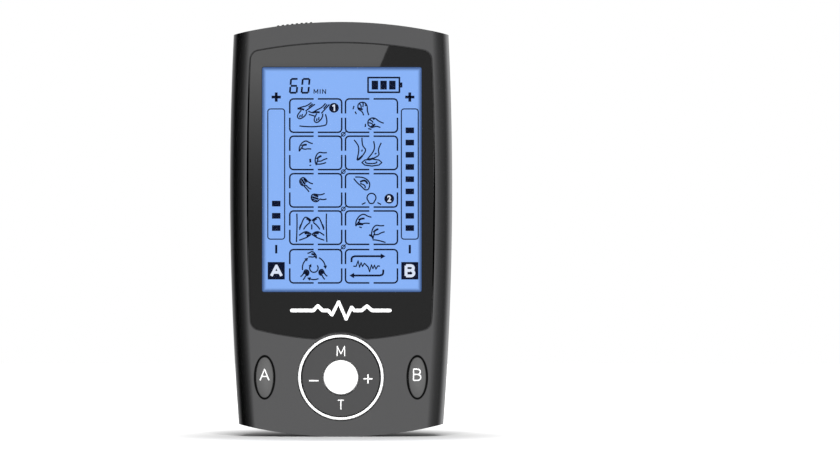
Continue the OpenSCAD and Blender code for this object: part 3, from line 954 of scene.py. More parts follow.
@dataclass
class Casings:
    """The front and back casings with their openings, and the four screws."""

    form: HousingForm
    face_y: float
    back_y: float
    seam_y: float
    key_z: float
    front_roll: float = 4.6
    back_roll: float = 3.0
    edge: float = 0.65
    rim: float = 0.22
    ring_bore: float = 11.64
    key_gap: float = 0.35
    screws: Sequence[Point] = ((24.5, 105), (-24.5, 105), (23.5, 6.6), (-23.5, 6.6))
    recess_r: float = 2.15
    post_r: float = 2.75
    head_r: float = 1.9
    head_h: float = 1.2

    def build(self) -> None:
        """Builds the casings and the screws."""
        self.front()
        self.back()
        self.screw_heads()

    def slots(self) -> list[Solid]:
        """Makes the tools for what passes through the walls: jacks, power switch and charging socket."""
        tools = []
        for node in ("output_jack_a", "output_jack_b"):
            low, high = (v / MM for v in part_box(node))
            middle = ((low.x + high.x) / 2, (low.y + high.y) / 2)
            hole = Solid.turned([(0, 0), (2.55, 0), (2.55, 6), (0, 6)], (0, 0), 64)
            bmesh.ops.rotate(hole.bm, matrix=Matrix.Rotation(math.pi / 2, 3, "X"), verts=hole.bm.verts)
            tools.append(hole.move(middle[0], middle[1], 108))
        low, high = (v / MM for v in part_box("power_knob"))
        tools.append(Solid.box((low.x + 0.85, -0.6, 108.4), (high.x + 1.15, 2.6, 113), 0.5, 2))
        low, high = (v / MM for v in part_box("usb_socket"))
        tools.append(Solid.box((low.x - 0.15, low.y - 0.15, -1), (high.x + 0.15, high.y + 0.15, 3), 0.7, 2))
        return tools

    def front(self) -> None:
        """Builds the front casing: a shell with the window's seat, the view opening and the key holes."""
        form = self.form
        shell = form.blank(0, self.seam_y, self.face_y, self.front_roll, self.edge)
        hollow = form.blank(
            form.wall, self.seam_y + form.over, self.face_y + form.wall, self.front_roll - form.wall, 0
        )
        low, high = (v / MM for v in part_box("display_window"))
        middle = (low + high) / 2
        seat = Solid.of_node("display_window")
        reach = (high - low) / 2
        seat.grow(((reach.x + 0.1) / reach.x, 1, (reach.z + 0.1) / reach.z), middle)
        seat.grow((1, 2.2, 1), (0, high.y + 0.05, 0))
        view = Solid.box((-21.6, -6, 38.6), (22.1, -3, 99.9), 0.8)
        hole = [(0, -8), (self.ring_bore, -8), (self.ring_bore, -3), (0, -3)]
        bore = Solid.turned(hole, (0, self.key_z), 160)
        keys = [ChannelKey.oval(node, self.key_gap, -8, -3) for node in ("button_a", "button_b")]
        shell.carve(hollow, seat, view, bore, *keys)
        shell.carve(*self.slots())
        bmesh.ops.remove_doubles(shell.bm, verts=shell.bm.verts, dist=0.03)
        shell.round_edges(self.rim, 2, shell.rims(self.face_y, -1))
        shell.finish("front_casing", "housing", LACQUERED_ABS, "front_plastic", ["front_shell"])

    def back(self) -> None:
        """Builds the back casing: a shell with screw recesses and a blank sunk label field."""
        form = self.form
        shell = form.blank(0, self.seam_y, self.back_y, self.back_roll, self.edge)
        hollow = form.blank(
            form.wall, self.seam_y - form.over, self.back_y - form.wall, self.back_roll - form.wall, 0
        )
        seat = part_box("shell_screws")[1].y / MM - self.head_h - 0.02
        bored = [(0, -2), (1.0, -2), (1.0, seat), (self.recess_r, seat), (self.recess_r, 8), (0, 8)]
        posts, wells = Solid(), Solid()
        for spot in self.screws:
            posts.join(Solid.turned([(0, -2), (self.post_r, -2), (self.post_r, 8), (0, 8)], spot, 48))
            wells.join(Solid.turned(bored, spot, 48))
        label = Solid.box((-17, self.back_y - 0.2, 40), (17, self.back_y + 1, 84), 1.5)
        shell.carve(hollow.carve(posts), label)
        shell.carve(wells)
        shell.carve(*self.slots())
        shell.round_edges(self.rim, 2, shell.rims(self.back_y, 1))
        shell.finish("back_casing", "housing", GRAINED_ABS, "back_plastic", ["back_shell"])

    def screw_heads(self) -> None:
        """Builds the four screws: a domed pan head with a cross recess, and its shank."""
        low, high = (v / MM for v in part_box("shell_screws"))
        seat, top, tip = high.y - self.head_h, high.y, low.y
        screws, slots = Solid(), (Solid(), Solid())
        for x, z in self.screws:
            profile = [
                (0, top),
                (0.9, top - 0.04),
                (1.55, top - 0.22),
                (self.head_r, top - 0.6),
                (self.head_r, seat),
                (0.8, seat),
                (0.8, tip + 0.9),
                (0, tip),
            ]
            screws.join(Solid.turned(profile, (x, z), 40))
            for slot, wide, tall in zip(slots, (1.1, 0.21), (0.21, 1.1)):
                slot.join(Solid.box((x - wide, top - 0.75, z - tall), (x + wide, top + 0.2, z + tall)))
        screws.carve(*slots)
        screws.finish("casing_screws", "housing", ZINC_STEEL, "screw_steel", ["shell_screws"])


# -------------------------------------------------------------------------------------------------- screen


class Icon(Enum):
    """The ten massage modes that the screen offers."""

    KNEAD = "knead"
    TAP = "tap"
    PINCH = "pinch"
    FOOT = "foot"
    CUP = "cup"
    NECK = "neck"
    BACK = "back"
    PLUCK = "pluck"
    CIRCLE = "circle"
    WAVE = "wave"


@dataclass(frozen=True)
class Sketch:
    """A small drawing round its own middle.

    Attributes:
        lines: Its fine lines.
        shade: Its heavy lines.
    """

    lines: Sequence[Sequence[Point]]
    shade: Sequence[Sequence[Point]] = ()


# A hand that pinches, seen from its thumb side, the wrist to the right
PINCHING = Sketch(
    [
        [(1.9, 0.7), (1.0, 0.9), (0.2, 1.5), (-0.7, 1.2), (-1.4, 0.4), (-1.8, -0.5), (-1.75, -1.4)],
        [(-1.75, -1.4), (-1.3, -0.6), (-0.8, -0.1)],
        [(1.5, -0.75), (0.5, -0.65), (-0.3, -0.9), (-1.1, -0.55)],
    ],
    [[(-1.1, 0.0), (-0.6, 0.45), (0.3, 0.4)]],
)
# A hand that presses down from the upper right, its fingers together
KNEADING = Sketch(
    [
        [(2.5, 1.8), (1.4, 1.0), (0.3, 0.2)],
        [(1.7, 2.2), (0.7, 1.4), (-0.5, 1.2), (-1.5, 0.8)],
        [(-0.7, 0.4), (-1.3, -0.3), (-1.7, -1.1), (-1.2, -1.7), (-0.4, -1.4), (0.5, -0.6), (0.6, 0.1)],
        [(-0.9, -0.7), (-1.1, -1.3)],
        [(-0.4, -0.5), (-0.6, -1.2)],
        [(2.0, 1.9), (1.0, 1.1)],
    ],
    [[(-1.6, 0.8), (-0.8, 0.75), (0.0, 0.5)]],
)
# A loose fist, its forearm to the lower right
TAPPING = Sketch(
    [
        [
            (2.0, -1.4), (1.3, -0.5), (1.1, 0.5), (0.5, 1.2),
            (-0.4, 1.3), (-1.1, 0.8), (-1.3, 0.0), (-0.9, -0.7),
        ],
        [(-0.9, -0.7), (-0.1, -0.9), (0.4, -1.2), (0.8, -1.8)],
        [(-1.0, 0.7), (-0.4, 0.4), (-0.3, -0.2)],
        [(-0.3, 1.2), (0.1, 0.6), (0.0, 0.1)],
        [(0.5, 1.1), (0.6, 0.5)],
    ],
    [[(-1.0, -0.5), (-0.4, -0.4), (0.2, -0.5)]],
)
# A lower leg and foot, the toes to the left
LOWER_LEG = Sketch(
    [
        [(-1.1, 2.7), (-0.5, 1.4), (-0.5, 0.4), (-0.8, -0.6), (-1.4, -1.7), (-1.8, -2.5)],
        [
            (-1.8, -2.5), (-1.1, -2.6), (-0.3, -1.9), (0.3, -1.5),
            (1.2, -0.6), (0.7, 0.3), (0.6, 1.2), (1.0, 2.7),
        ],
        [(-0.1, -0.7), (0.3, -0.3)],
    ],
    [[(-1.5, -2.4), (-0.7, -2.2), (-0.2, -1.8)]],
)
# A closed hand, hatched, its forearm to the right
CUPPED = Sketch(
    [
        [(0.4, 0.6), (-0.2, 1.1), (-0.9, 1.0), (-1.3, 0.2), (-0.9, -0.6), (-0.1, -0.9), (0.5, -0.5)],
        [(0.4, 0.6), (1.1, 0.1), (2.0, 0.2)],
        [(0.5, -0.5), (1.1, -1.1), (1.9, -1.1)],
        [(-1.1, 0.2), (-0.2, -0.7)],
    ],
    [[(-0.9, 0.6), (0.2, -0.4)], [(-0.4, 0.9), (0.4, 0.1)]],
)
# An open hand that reaches to the lower right
REACHING = Sketch(
    [
        [(-1.5, 1.5), (-0.4, 1.55), (0.7, 1.2), (1.4, 0.5), (1.5, -0.3), (1.2, -1.0)],
        [(-1.8, 1.2), (-1.2, 0.4), (-0.2, -0.4), (0.6, -1.3), (1.2, -1.0)],
        [(-0.5, 0.2), (0.2, 0.0), (0.6, -0.4), (0.5, -0.8)],
    ],
    [[(-0.5, 0.5), (0.1, 0.85), (0.8, 0.7), (1.0, 0.1)]],
)
# The right half of four hands laid on a back, and the back's edge
SPREAD = Sketch(
    [
        [(3.3, -0.6), (2.6, 1.5), (1.9, 2.9), (1.0, 2.7), (0.1, 1.9)],
        [(2.2, -0.5), (1.5, 0.7), (0.4, 1.4)],
        [(0.9, 2.3), (0.5, 1.5)],
        [(3.4, -2.1), (2.3, -1.2), (1.0, -1.0), (0.1, -1.8)],
        [(3.4, -3.4), (1.9, -2.9), (0.9, -2.4), (0.1, -1.8)],
        [(4.0, 3.8), (3.85, 1.0), (4.1, -3.9)],
        [(2.9, 0.9), (3.3, -0.1)],
    ],
    [
        [(0.1, 1.9), (0.8, 2.1), (1.4, 2.5)],
        [(0.5, -1.6), (1.2, -1.4), (1.9, -1.6)],
        [(0.5, -2.0), (1.4, -2.2)],
    ],
)


@dataclass
class Screen:
    """The liquid crystal screen: its glowing panel and the segments that stand dark on it."""

    middle: Point = (0.25, 69.25)
    half: Point = (21.45, 30.25)
    middle_x: float = 0.62
    column_x: Sequence[float] = (-6.8, 8.22)
    row_z: Sequence[float] = (86.5, 76.45, 66.35, 56.3, 45.9)
    cell: Point = (14.0, 9.0)
    rule: float = 0.42
    fine: float = 0.35
    heavy: float = 0.52
    level_x: Sequence[float] = (-17.45, 18.55)
    level_z: float = 56.2
    level_pitch: float = 3.29
    levels: Sequence[int] = (3, 9)
    dark: Print = field(default_factory=Print)
    pale: Print = field(default_factory=Print)

    def build(self) -> None:
        """Builds the panel and its artwork."""
        glow = ScreenGlow("backlit_liquid_crystal", "8cb8ff", 0.4, middle=self.middle, half=self.half)
        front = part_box("lcd_glass")[0].y / MM
        panel = Solid.of_node("lcd_glass").round_edges(0.1, 1)
        panel.finish("screen_panel", "housing", glow, "lcd_panel", ["lcd_glass"])
        self.timer()
        self.battery_level()
        self.channels()
        self.cells()
        for row, icons in enumerate(self.layout()):
            for column, icon in enumerate(icons):
                self.draw(icon, self.column_x[column], self.row_z[row])
        self.dark.solid(front - 0.005, 0.02).finish("screen_segments", "housing", CRYSTAL_DARK, "lcd_ink")
        pale = ScreenGlow("backlit_liquid_crystal_pale", "e2ecff", 0.4, middle=self.middle, half=self.half)
        self.pale.solid(front - 0.03, 0.02).finish("screen_knockouts", "housing", pale, "lcd_panel")

    @staticmethod
    def layout() -> list[tuple[Icon, Icon]]:
        """Returns the icons by row, left and right."""
        return [
            (Icon.KNEAD, Icon.TAP),
            (Icon.PINCH, Icon.FOOT),
            (Icon.CUP, Icon.NECK),
            (Icon.BACK, Icon.PLUCK),
            (Icon.CIRCLE, Icon.WAVE),
        ]

    def digit(self, lit: str, x: float, z: float, width: float, height: float) -> None:
        """Draws one seven-segment digit.

        Args:
            lit: Letters of the lit segments, a to g.
            x: Middle across.
            z: Middle up.
            width: Width of the digit.
            height: Height of the digit.
        """
        bar, lean = 0.52, 0.09
        tall, wide = height / 2 - bar * 1.1, width - bar * 1.3
        places = {
            "a": (0, height / 2 - bar / 2, wide, bar),
            "g": (0, 0, wide, bar),
            "d": (0, bar / 2 - height / 2, wide, bar),
            "f": (bar / 2 - width / 2, height / 4, bar, tall),
            "b": (width / 2 - bar / 2, height / 4, bar, tall),
            "e": (bar / 2 - width / 2, -height / 4, bar, tall),
            "c": (width / 2 - bar / 2, -height / 4, bar, tall),
        }
        for name in lit:
            across, up, w, h = places[name]
            self.dark.bar(x + across + lean * up, z + up, w, h, lean)

    def timer(self) -> None:
        """Draws the minutes that are left."""
        self.digit("acdefg", -12.7, 94.52, 2.35, 4.25)
        self.digit("abcdef", -9.55, 94.52, 2.35, 4.25)
        for letter, x, width in (("M", -6.75, 1.3), ("I", -5.62, 0.3), ("N", -4.55, 1.1)):
            self.dark.capital(letter, x, 93.0, width, 1.45, 0.26)

    def battery_level(self) -> None:
        """Draws the battery mark with three bars."""
        self.dark.line([(7.3, 92.78), (15.75, 92.78), (15.75, 96.75), (7.3, 96.75)], 0.5, closed=True)
        self.dark.bar(16.2, 94.75, 0.7, 1.35)
        for x in (9.14, 11.48, 13.85):
            self.dark.bar(x, 94.72, 1.75, 2.4)

    def channels(self) -> None:
        """Draws the level column of each channel, with its plus, minus and letter."""
        for x, lit, name in zip(self.level_x, self.levels, "AB"):
            self.dark.bar(x, 91.5, 2.5, 0.75).bar(x, 91.5, 0.75, 2.5)
            low, high = (x - 2.27, 53.2), (x + 2.27, 88.3)
            self.dark.line(rounded_box(low, high, 0.7), 0.3, closed=True)
            for step in range(lit):
                self.dark.bar(x, self.level_z + step * self.level_pitch, 2.3, 1.55)
            self.dark.bar(x, 50.5, 0.6, 2.3)
            self.dark.bar(x, 44.68, 4.6, 4.7)
            self.pale.capital(name, x + 0.05, 44.68, 3.5 if name == "A" else 2.9, 3.55, 0.78)

    def cells(self) -> None:
        """Draws the ten mode frames, each open in the middle of its sides, and the marks between them."""
        width, height = self.cell
        corner, gap = 1.0, 0.56
        for x in self.column_x:
            for z in self.row_z:
                for right in (-1, 1):
                    for up in (-1, 1):
                        turn = ellipse(0, 0, corner, corner, 0, 90, 5)
                        bend = [(width / 2 - corner + c, height / 2 - corner + s) for c, s in turn]
                        quarter = [(width / 2, gap), *bend, (gap, height / 2)]
                        self.dark.line([(x + right * a, z + up * b) for a, b in quarter], self.rule)
        for above, below in zip(self.row_z, self.row_z[1:]):
            x, z = self.middle_x, (above + below) / 2
            self.dark.line(ellipse(x, z, 0.52, 0.52, n=12), 0.26, closed=True)
            self.dark.line([(x - 0.72, z - 0.72), (x + 0.72, z + 0.72)], 0.26)
        for x, z, number in ((-1.9, 88.6, "1"), (13.0, 64.1, "2")):
            self.dark.disc(x, z, 1.32)
            if number == "1":
                self.pale.line([(x - 0.4, z + 0.4), (x + 0.12, z + 0.78), (x + 0.12, z - 0.85)], 0.4)
            else:
                self.pale.letters(number, x, z, 1.05, 1.7, 0.04)

    def sketch(
        self, drawing: Sketch, x: float, z: float, scale: float = 1.0, turn: float = 0.0, flip: bool = False
    ) -> None:
        """Draws a sketch's smooth lines.

        Args:
            drawing: The sketch.
            x: Place of its middle across.
            z: Place of its middle up.
            scale: Size factor.
            turn: Turn to the left, in degrees.
            flip: True to mirror the sketch left to right.
        """
        cos, sin = math.cos(math.radians(turn)) * scale, math.sin(math.radians(turn)) * scale
        side = -1 if flip else 1
        for lines, width in ((drawing.lines, self.fine), (drawing.shade, self.heavy)):
            for line in lines:
                placed = [(x + side * (a * cos - b * sin), z + a * sin + b * cos) for a, b in line]
                self.dark.line(placed, width, smooth=True)

    def arrow(self, points: Sequence[Point], width: float, head: float) -> None:
        """Draws a line that ends in a filled arrowhead.

        Args:
            points: The line's points.
            width: Width of the line.
            head: Radius of the head.
        """
        (x0, z0), (x1, z1) = points[-2:]
        self.dark.line(points, width)
        self.dark.disc(x1, z1, head, 3, math.atan2(z1 - z0, x1 - x0) - math.pi / 2)

    def draw(self, icon: Icon, x: float, z: float) -> None:
        """Draws one mode's icon.

        Args:
            icon: Which mode.
            x: Middle of its frame across.
            z: Middle of its frame up.
        """
        if icon is Icon.KNEAD:
            self.sketch(KNEADING, x - 3.1, z + 1.0, 1.15)
            self.sketch(KNEADING, x + 1.2, z + 0.3, 1.2, 12)
            fold = [[(-2.0, 1.2), (-1.1, 0.7), (-0.4, 0.8)], [(-1.9, 0.3), (-0.9, 0.1), (-0.2, -0.2)]]
            table = [[(-4.4, -2.8), (-1.8, -3.1), (2.0, -2.8), (3.0, -2.4), (3.0, -0.8), (2.6, 0.4)]]
            self.sketch(Sketch(fold + table), x, z)
        elif icon is Icon.TAP:
            self.sketch(TAPPING, x - 2.4, z + 2.2, 1.1, -16)
            self.sketch(TAPPING, x + 0.5, z - 2.0, 1.15, 34)
            upper = [[(-4.7, 2.6), (-5.0, 1.7)], [(-4.4, 1.1), (-4.1, 0.4)]]
            lower = [[(-1.6, -2.2), (-1.7, -3.1)], [(-0.9, -3.5), (0.0, -3.7)]]
            self.sketch(Sketch(upper + lower), x, z)
        elif icon is Icon.PINCH:
            self.sketch(PINCHING, x - 2.7, z + 1.8)
            self.sketch(PINCHING, x + 1.4, z - 1.3, 1.05, 20)
            skin = [[(0.0, -2.9), (0.9, -3.3), (2.8, -2.6)]]
            stress = [[(-1.5, -1.6), (-1.45, -2.6)], [(-1.5, -3.2), (-1.4, -3.5)]]
            self.sketch(Sketch(skin, stress), x, z)
        elif icon is Icon.FOOT:
            self.sketch(LOWER_LEG, x - 2.8, z + 1.1, 1.05, 16)
            self.sketch(LOWER_LEG, x + 1.1, z + 0.3, 1.0, -12)
            self.dark.line(ellipse(x + 0.1, z - 2.6, 2.7, 0.95, n=8), self.fine, closed=True)
            self.dark.line(ellipse(x - 0.1, z - 2.5, 1.6, 0.4, 150, 390, 8), self.fine)
        elif icon is Icon.CUP:
            self.sketch(CUPPED, x - 3.0, z + 2.1, 1.15, -14)
            self.sketch(CUPPED, x + 0.3, z - 2.0, 1.2, 24)
            self.sketch(Sketch([[(-3.2, 1.2), (-2.4, 0.4), (-1.8, -0.4)]]), x, z)
        elif icon is Icon.NECK:
            self.sketch(REACHING, x - 2.4, z + 1.6, 1.32)
            self.dark.line(ellipse(x, z - 2.0, 1.2, 1.2, -50, 230), self.fine)
            collar = [[(-0.8, -2.9), (-0.7, -3.4), (0.0, -3.6), (0.7, -3.4), (0.8, -2.9)]]
            shoulders = [[(-1.6, -3.3), (-2.6, -3.8)], [(1.6, -3.3), (2.6, -3.8)]]
            self.sketch(Sketch(collar + shoulders), x, z)
        elif icon is Icon.BACK:
            for flip in (False, True):
                self.sketch(SPREAD, x - 1.1, z, 1.0, 0, flip)
            self.sketch(Sketch([[(0, 0.9), (0.05, 0.2), (0, -0.5)]]), x - 1.1, z)
        elif icon is Icon.PLUCK:
            self.sketch(PINCHING, x - 2.2, z + 2.0, 1.15)
            self.sketch(PINCHING, x + 1.7, z - 0.9, 1.12, 20)
            skin = [[(-3.3, 0.2), (-2.6, 0.0)], [(0.3, -3.3), (1.4, -3.2), (3.8, -4.0)]]
            stress = [[(-3.9, 0.9), (-3.0, 0.9), (-2.2, 0.9)], [(-0.6, -1.9), (0.4, -2.5)]]
            self.sketch(Sketch(skin, stress), x, z)
        elif icon is Icon.CIRCLE:
            centre = (x - 0.5, z - 0.5)
            self.sketch(PINCHING, centre[0] - 0.5, centre[1] + 3.5, 0.66, 0, True)
            self.sketch(CUPPED, centre[0] - 2.2, centre[1] - 1.5, 0.82, -35, True)
            self.sketch(CUPPED, centre[0] + 2.2, centre[1] - 1.4, 0.82, -35)
            for low, high in ((6, 64), (130, 190), (-114, -66)):
                self.arrow(ellipse(*centre, 3.1, 3.1, low, high, 8)[::-1], self.fine, 0.62)
            self.arrow(ellipse(*centre, 1.15, 1.15, -215, 40, 14)[::-1], self.fine, 0.55)
        elif icon is Icon.WAVE:
            for side in (1, -1):
                hook = [(-4.3, 1.0), (-4.25, 2.0), (-4.0, 2.4), (-3.4, 2.6), (4.0, 2.6)]
                self.arrow([(x - 1.1 + side * a, z + 0.1 + side * b) for a, b in hook], self.heavy, 0.85)
            start = [(-4.9, 0.0), (-4.1, 0.0), (-3.6, 1.5), (-3.2, -0.3), (-2.8, 1.0), (-2.4, -0.1)]
            middle = [(-1.9, 0.8), (-1.4, 0.3), (-0.9, -0.2), (-0.5, -1.5), (0.0, 0.4), (0.4, -0.7)]
            end = [(0.8, 0.3), (1.2, -0.8), (1.7, 0.1), (2.3, 0.0)]
            self.dark.line([(x + a, z + b) for a, b in start + middle + end], self.fine)


@dataclass
class Window:
    """The printed window, its clear part over the screen and the white mark under the screen."""

    view_low: Point = (-21.2, 39.0)
    view_high: Point = (21.7, 99.5)
    view_corner: float = 0.5
    gap: float = 0.02
    mark_z: float = 34.0

    def build(self) -> list[bpy.types.Object]:
        """Builds the printed frame, the clear sheet and the mark.

        Returns:
            The two pieces with the window's polish.
        """
        low, high = (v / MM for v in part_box("display_window"))
        opening = self.view(low.y - 1, high.y + 1)
        frame = Solid.of_node("display_window").carve(opening)
        frame.round_edges(0.15, 2, frame.rims(low.y, -1))
        printed = frame.finish("window_frame", "housing", PRINTED_ACRYLIC, "window_acrylic", ["display_window"])
        pane = self.view(low.y + self.gap, high.y - self.gap, self.gap)
        clear = pane.finish("window_pane", "housing", CLEAR_ACRYLIC, "clear_acrylic")
        self.mark(low.y)
        return [printed, clear]

    def view(self, y0: float, y1: float, inset: float = 0.0) -> Solid:
        """Makes a block the size of the clear part.

        Args:
            y0: Front end of the block.
            y1: Back end of the block.
            inset: How far it lies inside the clear part.

        Returns:
            The block.
        """
        low = (self.view_low[0] + inset, y0, self.view_low[1] + inset)
        high = (self.view_high[0] - inset, y1, self.view_high[1] - inset)
        return Solid.box(low, high, self.view_corner)

    def mark(self, front: float) -> None:
        """Prints a plain pulse wave under the screen.

        Args:
            front: Depth of the window's front.
        """
        beat = [(-13.2, 0), (-7.4, 0), (-6.2, 1.3), (-5.0, 0), (-3.4, 0), (-2.4, -1.2), (-0.6, 2.35)]
        rest = [(1.4, -2.35), (2.9, 0.9), (3.6, 0), (5.6, 0), (7.0, 1.2), (8.4, 0), (13.2, 0)]
        pulse = Print().line([(x, self.mark_z + z) for x, z in beat + rest], 0.95)
        pulse.disc(-13.2, self.mark_z, 0.46).disc(13.2, self.mark_z, 0.46)
        pulse.solid(front + 0.01, 0.03).finish("pulse_mark", "housing", WHITE_INK, "white_print")


# ---------------------------------------------------------------------------------------------------- keys


@dataclass
class ChannelKey:
    """One oval channel key with its printed letter."""

    node: str
    letter: str

    @staticmethod
    def oval(node: str, grow: float, y0: float, y1: float) -> Solid:
        """Makes an oval bar in a channel key's place.

        Args:
            node: CAD node of the key.
            grow: How far the oval stands outside the key's cap.
            y0: Front end of the bar.
            y1: Back end of the bar.

        Returns:
            The bar.
        """
        low, high = (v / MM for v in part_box(node))
        middle, flange = (low + high) / 2, 0.85
        half_x, half_z = (high.x - low.x) / 2 - flange + grow, (high.z - low.z) / 2 - flange + grow
        bar = Solid.turned([(0, y0), (1, y0), (1, y1), (0, y1)], (0, 0), 96)
        bar.grow((half_x, 1, half_z), (0, 0, 0))
        return bar.move(middle.x, 0, middle.z)

    def build(self) -> None:
        """Builds the cap, its flange, black as painted shade for the deep gap round the cap, and its letter."""
        low, high = (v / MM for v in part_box(self.node))
        middle = (low + high) / 2
        cap = self.oval(self.node, 0, low.y, low.y + 2.1).round_edges(0.25, 4)
        cap.finish(f"{self.node}_cap", self.node, LACQUERED_KEY, "channel_key_plastic", [self.node])
        # The flange is the cap's own moulding; it is finished black as painted shade for the deep gap round the cap
        flange = self.oval(self.node, 0.85, low.y + 2.1, high.y)
        flange.finish(f"{self.node}_flange", self.node, BLACK_NYLON, "channel_key_plastic")
        width = 2.75 if self.letter == "A" else 2.3
        mark = Print().capital(self.letter, middle.x, middle.z + 0.7, width, 3.35, 0.33)
        mark.solid(low.y + 0.012, 0.02).finish(f"{self.node}_letter", self.node, WHITE_INK, "white_print")


@dataclass
class DirectionPad:
    """The round pad, its white trim ring and the white centre key."""

    z: float
    label_r: float = 7.3

    def build(self) -> None:
        """Builds the ring, the pad, its marks and the centre key."""
        centre = (0.0, self.z)
        low, high = (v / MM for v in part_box("pad_ring"))
        inner, outer, flange, step = 10.8, 11.46, (high.x - low.x) / 2, -4.15
        section = [(inner, low.y), (outer, low.y), (outer, step), (flange, step), (flange, high.y), (inner, high.y)]
        ring = Solid.turned(section, centre, 160)
        ring.round_edges(0.12, 3)
        ring.finish("pad_trim_ring", "housing", WHITE_ABS, "white_trim", ["pad_ring"])
        low, high = (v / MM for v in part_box("direction_pad"))
        face = low.y
        rim, bore, skirt, flange = 10.5, 4.85, 9.4, (high.x - low.x) / 2
        profile = [
            (bore, face + 1.4),
            (bore, face),
            (rim, face),
            (rim, -3.0),
            (flange, -3.0),
            (flange, -2.5),
            (skirt, -2.5),
            (skirt, face + 1.4),
        ]
        pad = Solid.turned(profile, centre, 160)
        pad.round_edges(0.18, 3)
        for turn in range(4):
            x, z = 8 * math.cos(turn * math.pi / 2), 8 * math.sin(turn * math.pi / 2)
            foot = [(0, face + 1.35), (0.9, face + 1.35), (0.9, -1.8), (0, -1.8)]
            pad.join(Solid.turned(foot, (x, self.z + z), 24))
        pad.finish("direction_pad_disc", "direction_pad", LACQUERED_PAD, "pad_plastic", ["direction_pad"])
        self.marks(face)
        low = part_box("centre_button")[0] / MM
        cap = [(0, low.y), (4.6, low.y), (4.6, -4.0), (5.4, -4.0), (5.4, -3.3)]
        stem = [(1.5, -3.3), (1.5, -2.0), (0, -2.0)]
        key = Solid.turned(cap + stem, centre, 128)
        key.round_edges(0.22, 3)
        key.finish("centre_key", "centre_button", WHITE_ABS, "white_trim", ["centre_button"])

    def marks(self, face: float) -> None:
        """Prints M, T, minus and plus round the pad.

        Args:
            face: Depth of the pad's face.
        """
        printed = Print().capital("M", 0, self.z + 7.05, 2.3, 2.95, 0.29)
        printed.capital("T", 0, self.z - 7.4, 1.9, 2.8, 0.31)
        printed.bar(-self.label_r, self.z - 0.9, 2.5, 0.35)
        printed.bar(self.label_r, self.z - 0.4, 2.45, 0.35).bar(self.label_r, self.z - 0.4, 0.35, 2.45)
        printed.solid(face + 0.012, 0.02).finish("pad_marks", "direction_pad", WHITE_INK, "white_print")


# ------------------------------------------------------------------------------------------- top and foot


@dataclass
class Sockets:
    """The ridged power knob, the two output jacks and the charging socket."""

    nose_r: float = 2.4
    bore_r: float = 1.3
    bore_depth: float = 11.0

    def build(self) -> None:
        """Builds the knob, the jacks and the charging socket."""
        knob = Solid.of_node("power_knob").round_edges(0.07, 2)
        knob.finish("power_knob_cap", "power_slider", BLACK_ACETAL, "knob_plastic", ["power_knob"])
        for node in ("output_jack_a", "output_jack_b"):
            self.jack(node)
        self.charging()

    def jack(self, node: str) -> None:
        """Builds a jack: moulded body, round nose with a chamfered mouth, and a contact ring in its bore.

        Args:
            node: CAD node of the jack.
        """
        low, high = (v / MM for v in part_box(node))
        middle, top = (low + high) / 2, high.z
        floor, shoulder = top - self.bore_depth, 108.0
        bore = [(0, floor), (self.bore_r, floor), (self.bore_r, shoulder + 1), (0, shoulder + 1)]
        inside = self.bore_r + 0.01
        nose = [
            (inside, shoulder - 0.3),
            (self.nose_r, shoulder - 0.3),
            (self.nose_r, top - 0.2),
            (self.nose_r - 0.2, top),
            (inside + 0.3, top),
            (inside, top - 0.3),
        ]
        body = Solid.box(low, (high.x, high.y, shoulder)).carve(self.upright(bore, middle))
        body.join(self.upright(nose, middle))
        body.finish(f"{node}_moulding", "housing", BLACK_NYLON, "jack_plastic", [node])
        inner, outer = self.bore_r - 0.06, self.bore_r - 0.01
        section = [(inner, top - 3.4), (outer, top - 3.4), (outer, top - 1.0), (inner, top - 1.0)]
        ring = self.upright(section, middle)
        ring.finish(f"{node}_contact", "housing", TINNED_BRASS, "contact_metal")

    @staticmethod
    def upright(profile: Sequence[Point], middle: Vector) -> Solid:
        """Turns a profile about a line along Z.

        Args:
            profile: Radius and height of each point.
            middle: A point on the line.

        Returns:
            The turned solid.
        """
        made = Solid.turned(profile, (0, 0), 64)
        stand = Matrix.Rotation(math.pi / 2, 3, "X")
        bmesh.ops.rotate(made.bm, matrix=stand, verts=made.bm.verts)
        return made.move(middle.x, middle.y, 0)

    def charging(self) -> None:
        """Builds the charging socket: a folded shell with a rolled lip, and its tongue."""
        low, high = (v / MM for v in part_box("usb_socket"))
        wall = 0.3
        shell = Solid.box(low, high, 0.6, 2)
        mouth = Solid.box(
            (low.x + wall, low.y + wall, low.z - 1), (high.x - wall, high.y - wall, high.z - wall), 0.4, 2
        )
        shell.carve(mouth)
        shell.round_edges(0.1, 2)
        shell.finish("charging_socket_shell", "housing", NICKEL_STEEL, "usb_steel", ["usb_socket"])
        tongue = Solid.of_node("usb_tongue").round_edges(0.12, 2)
        tongue.finish("charging_socket_tongue", "housing", BLACK_NYLON, "jack_plastic", ["usb_tongue"])


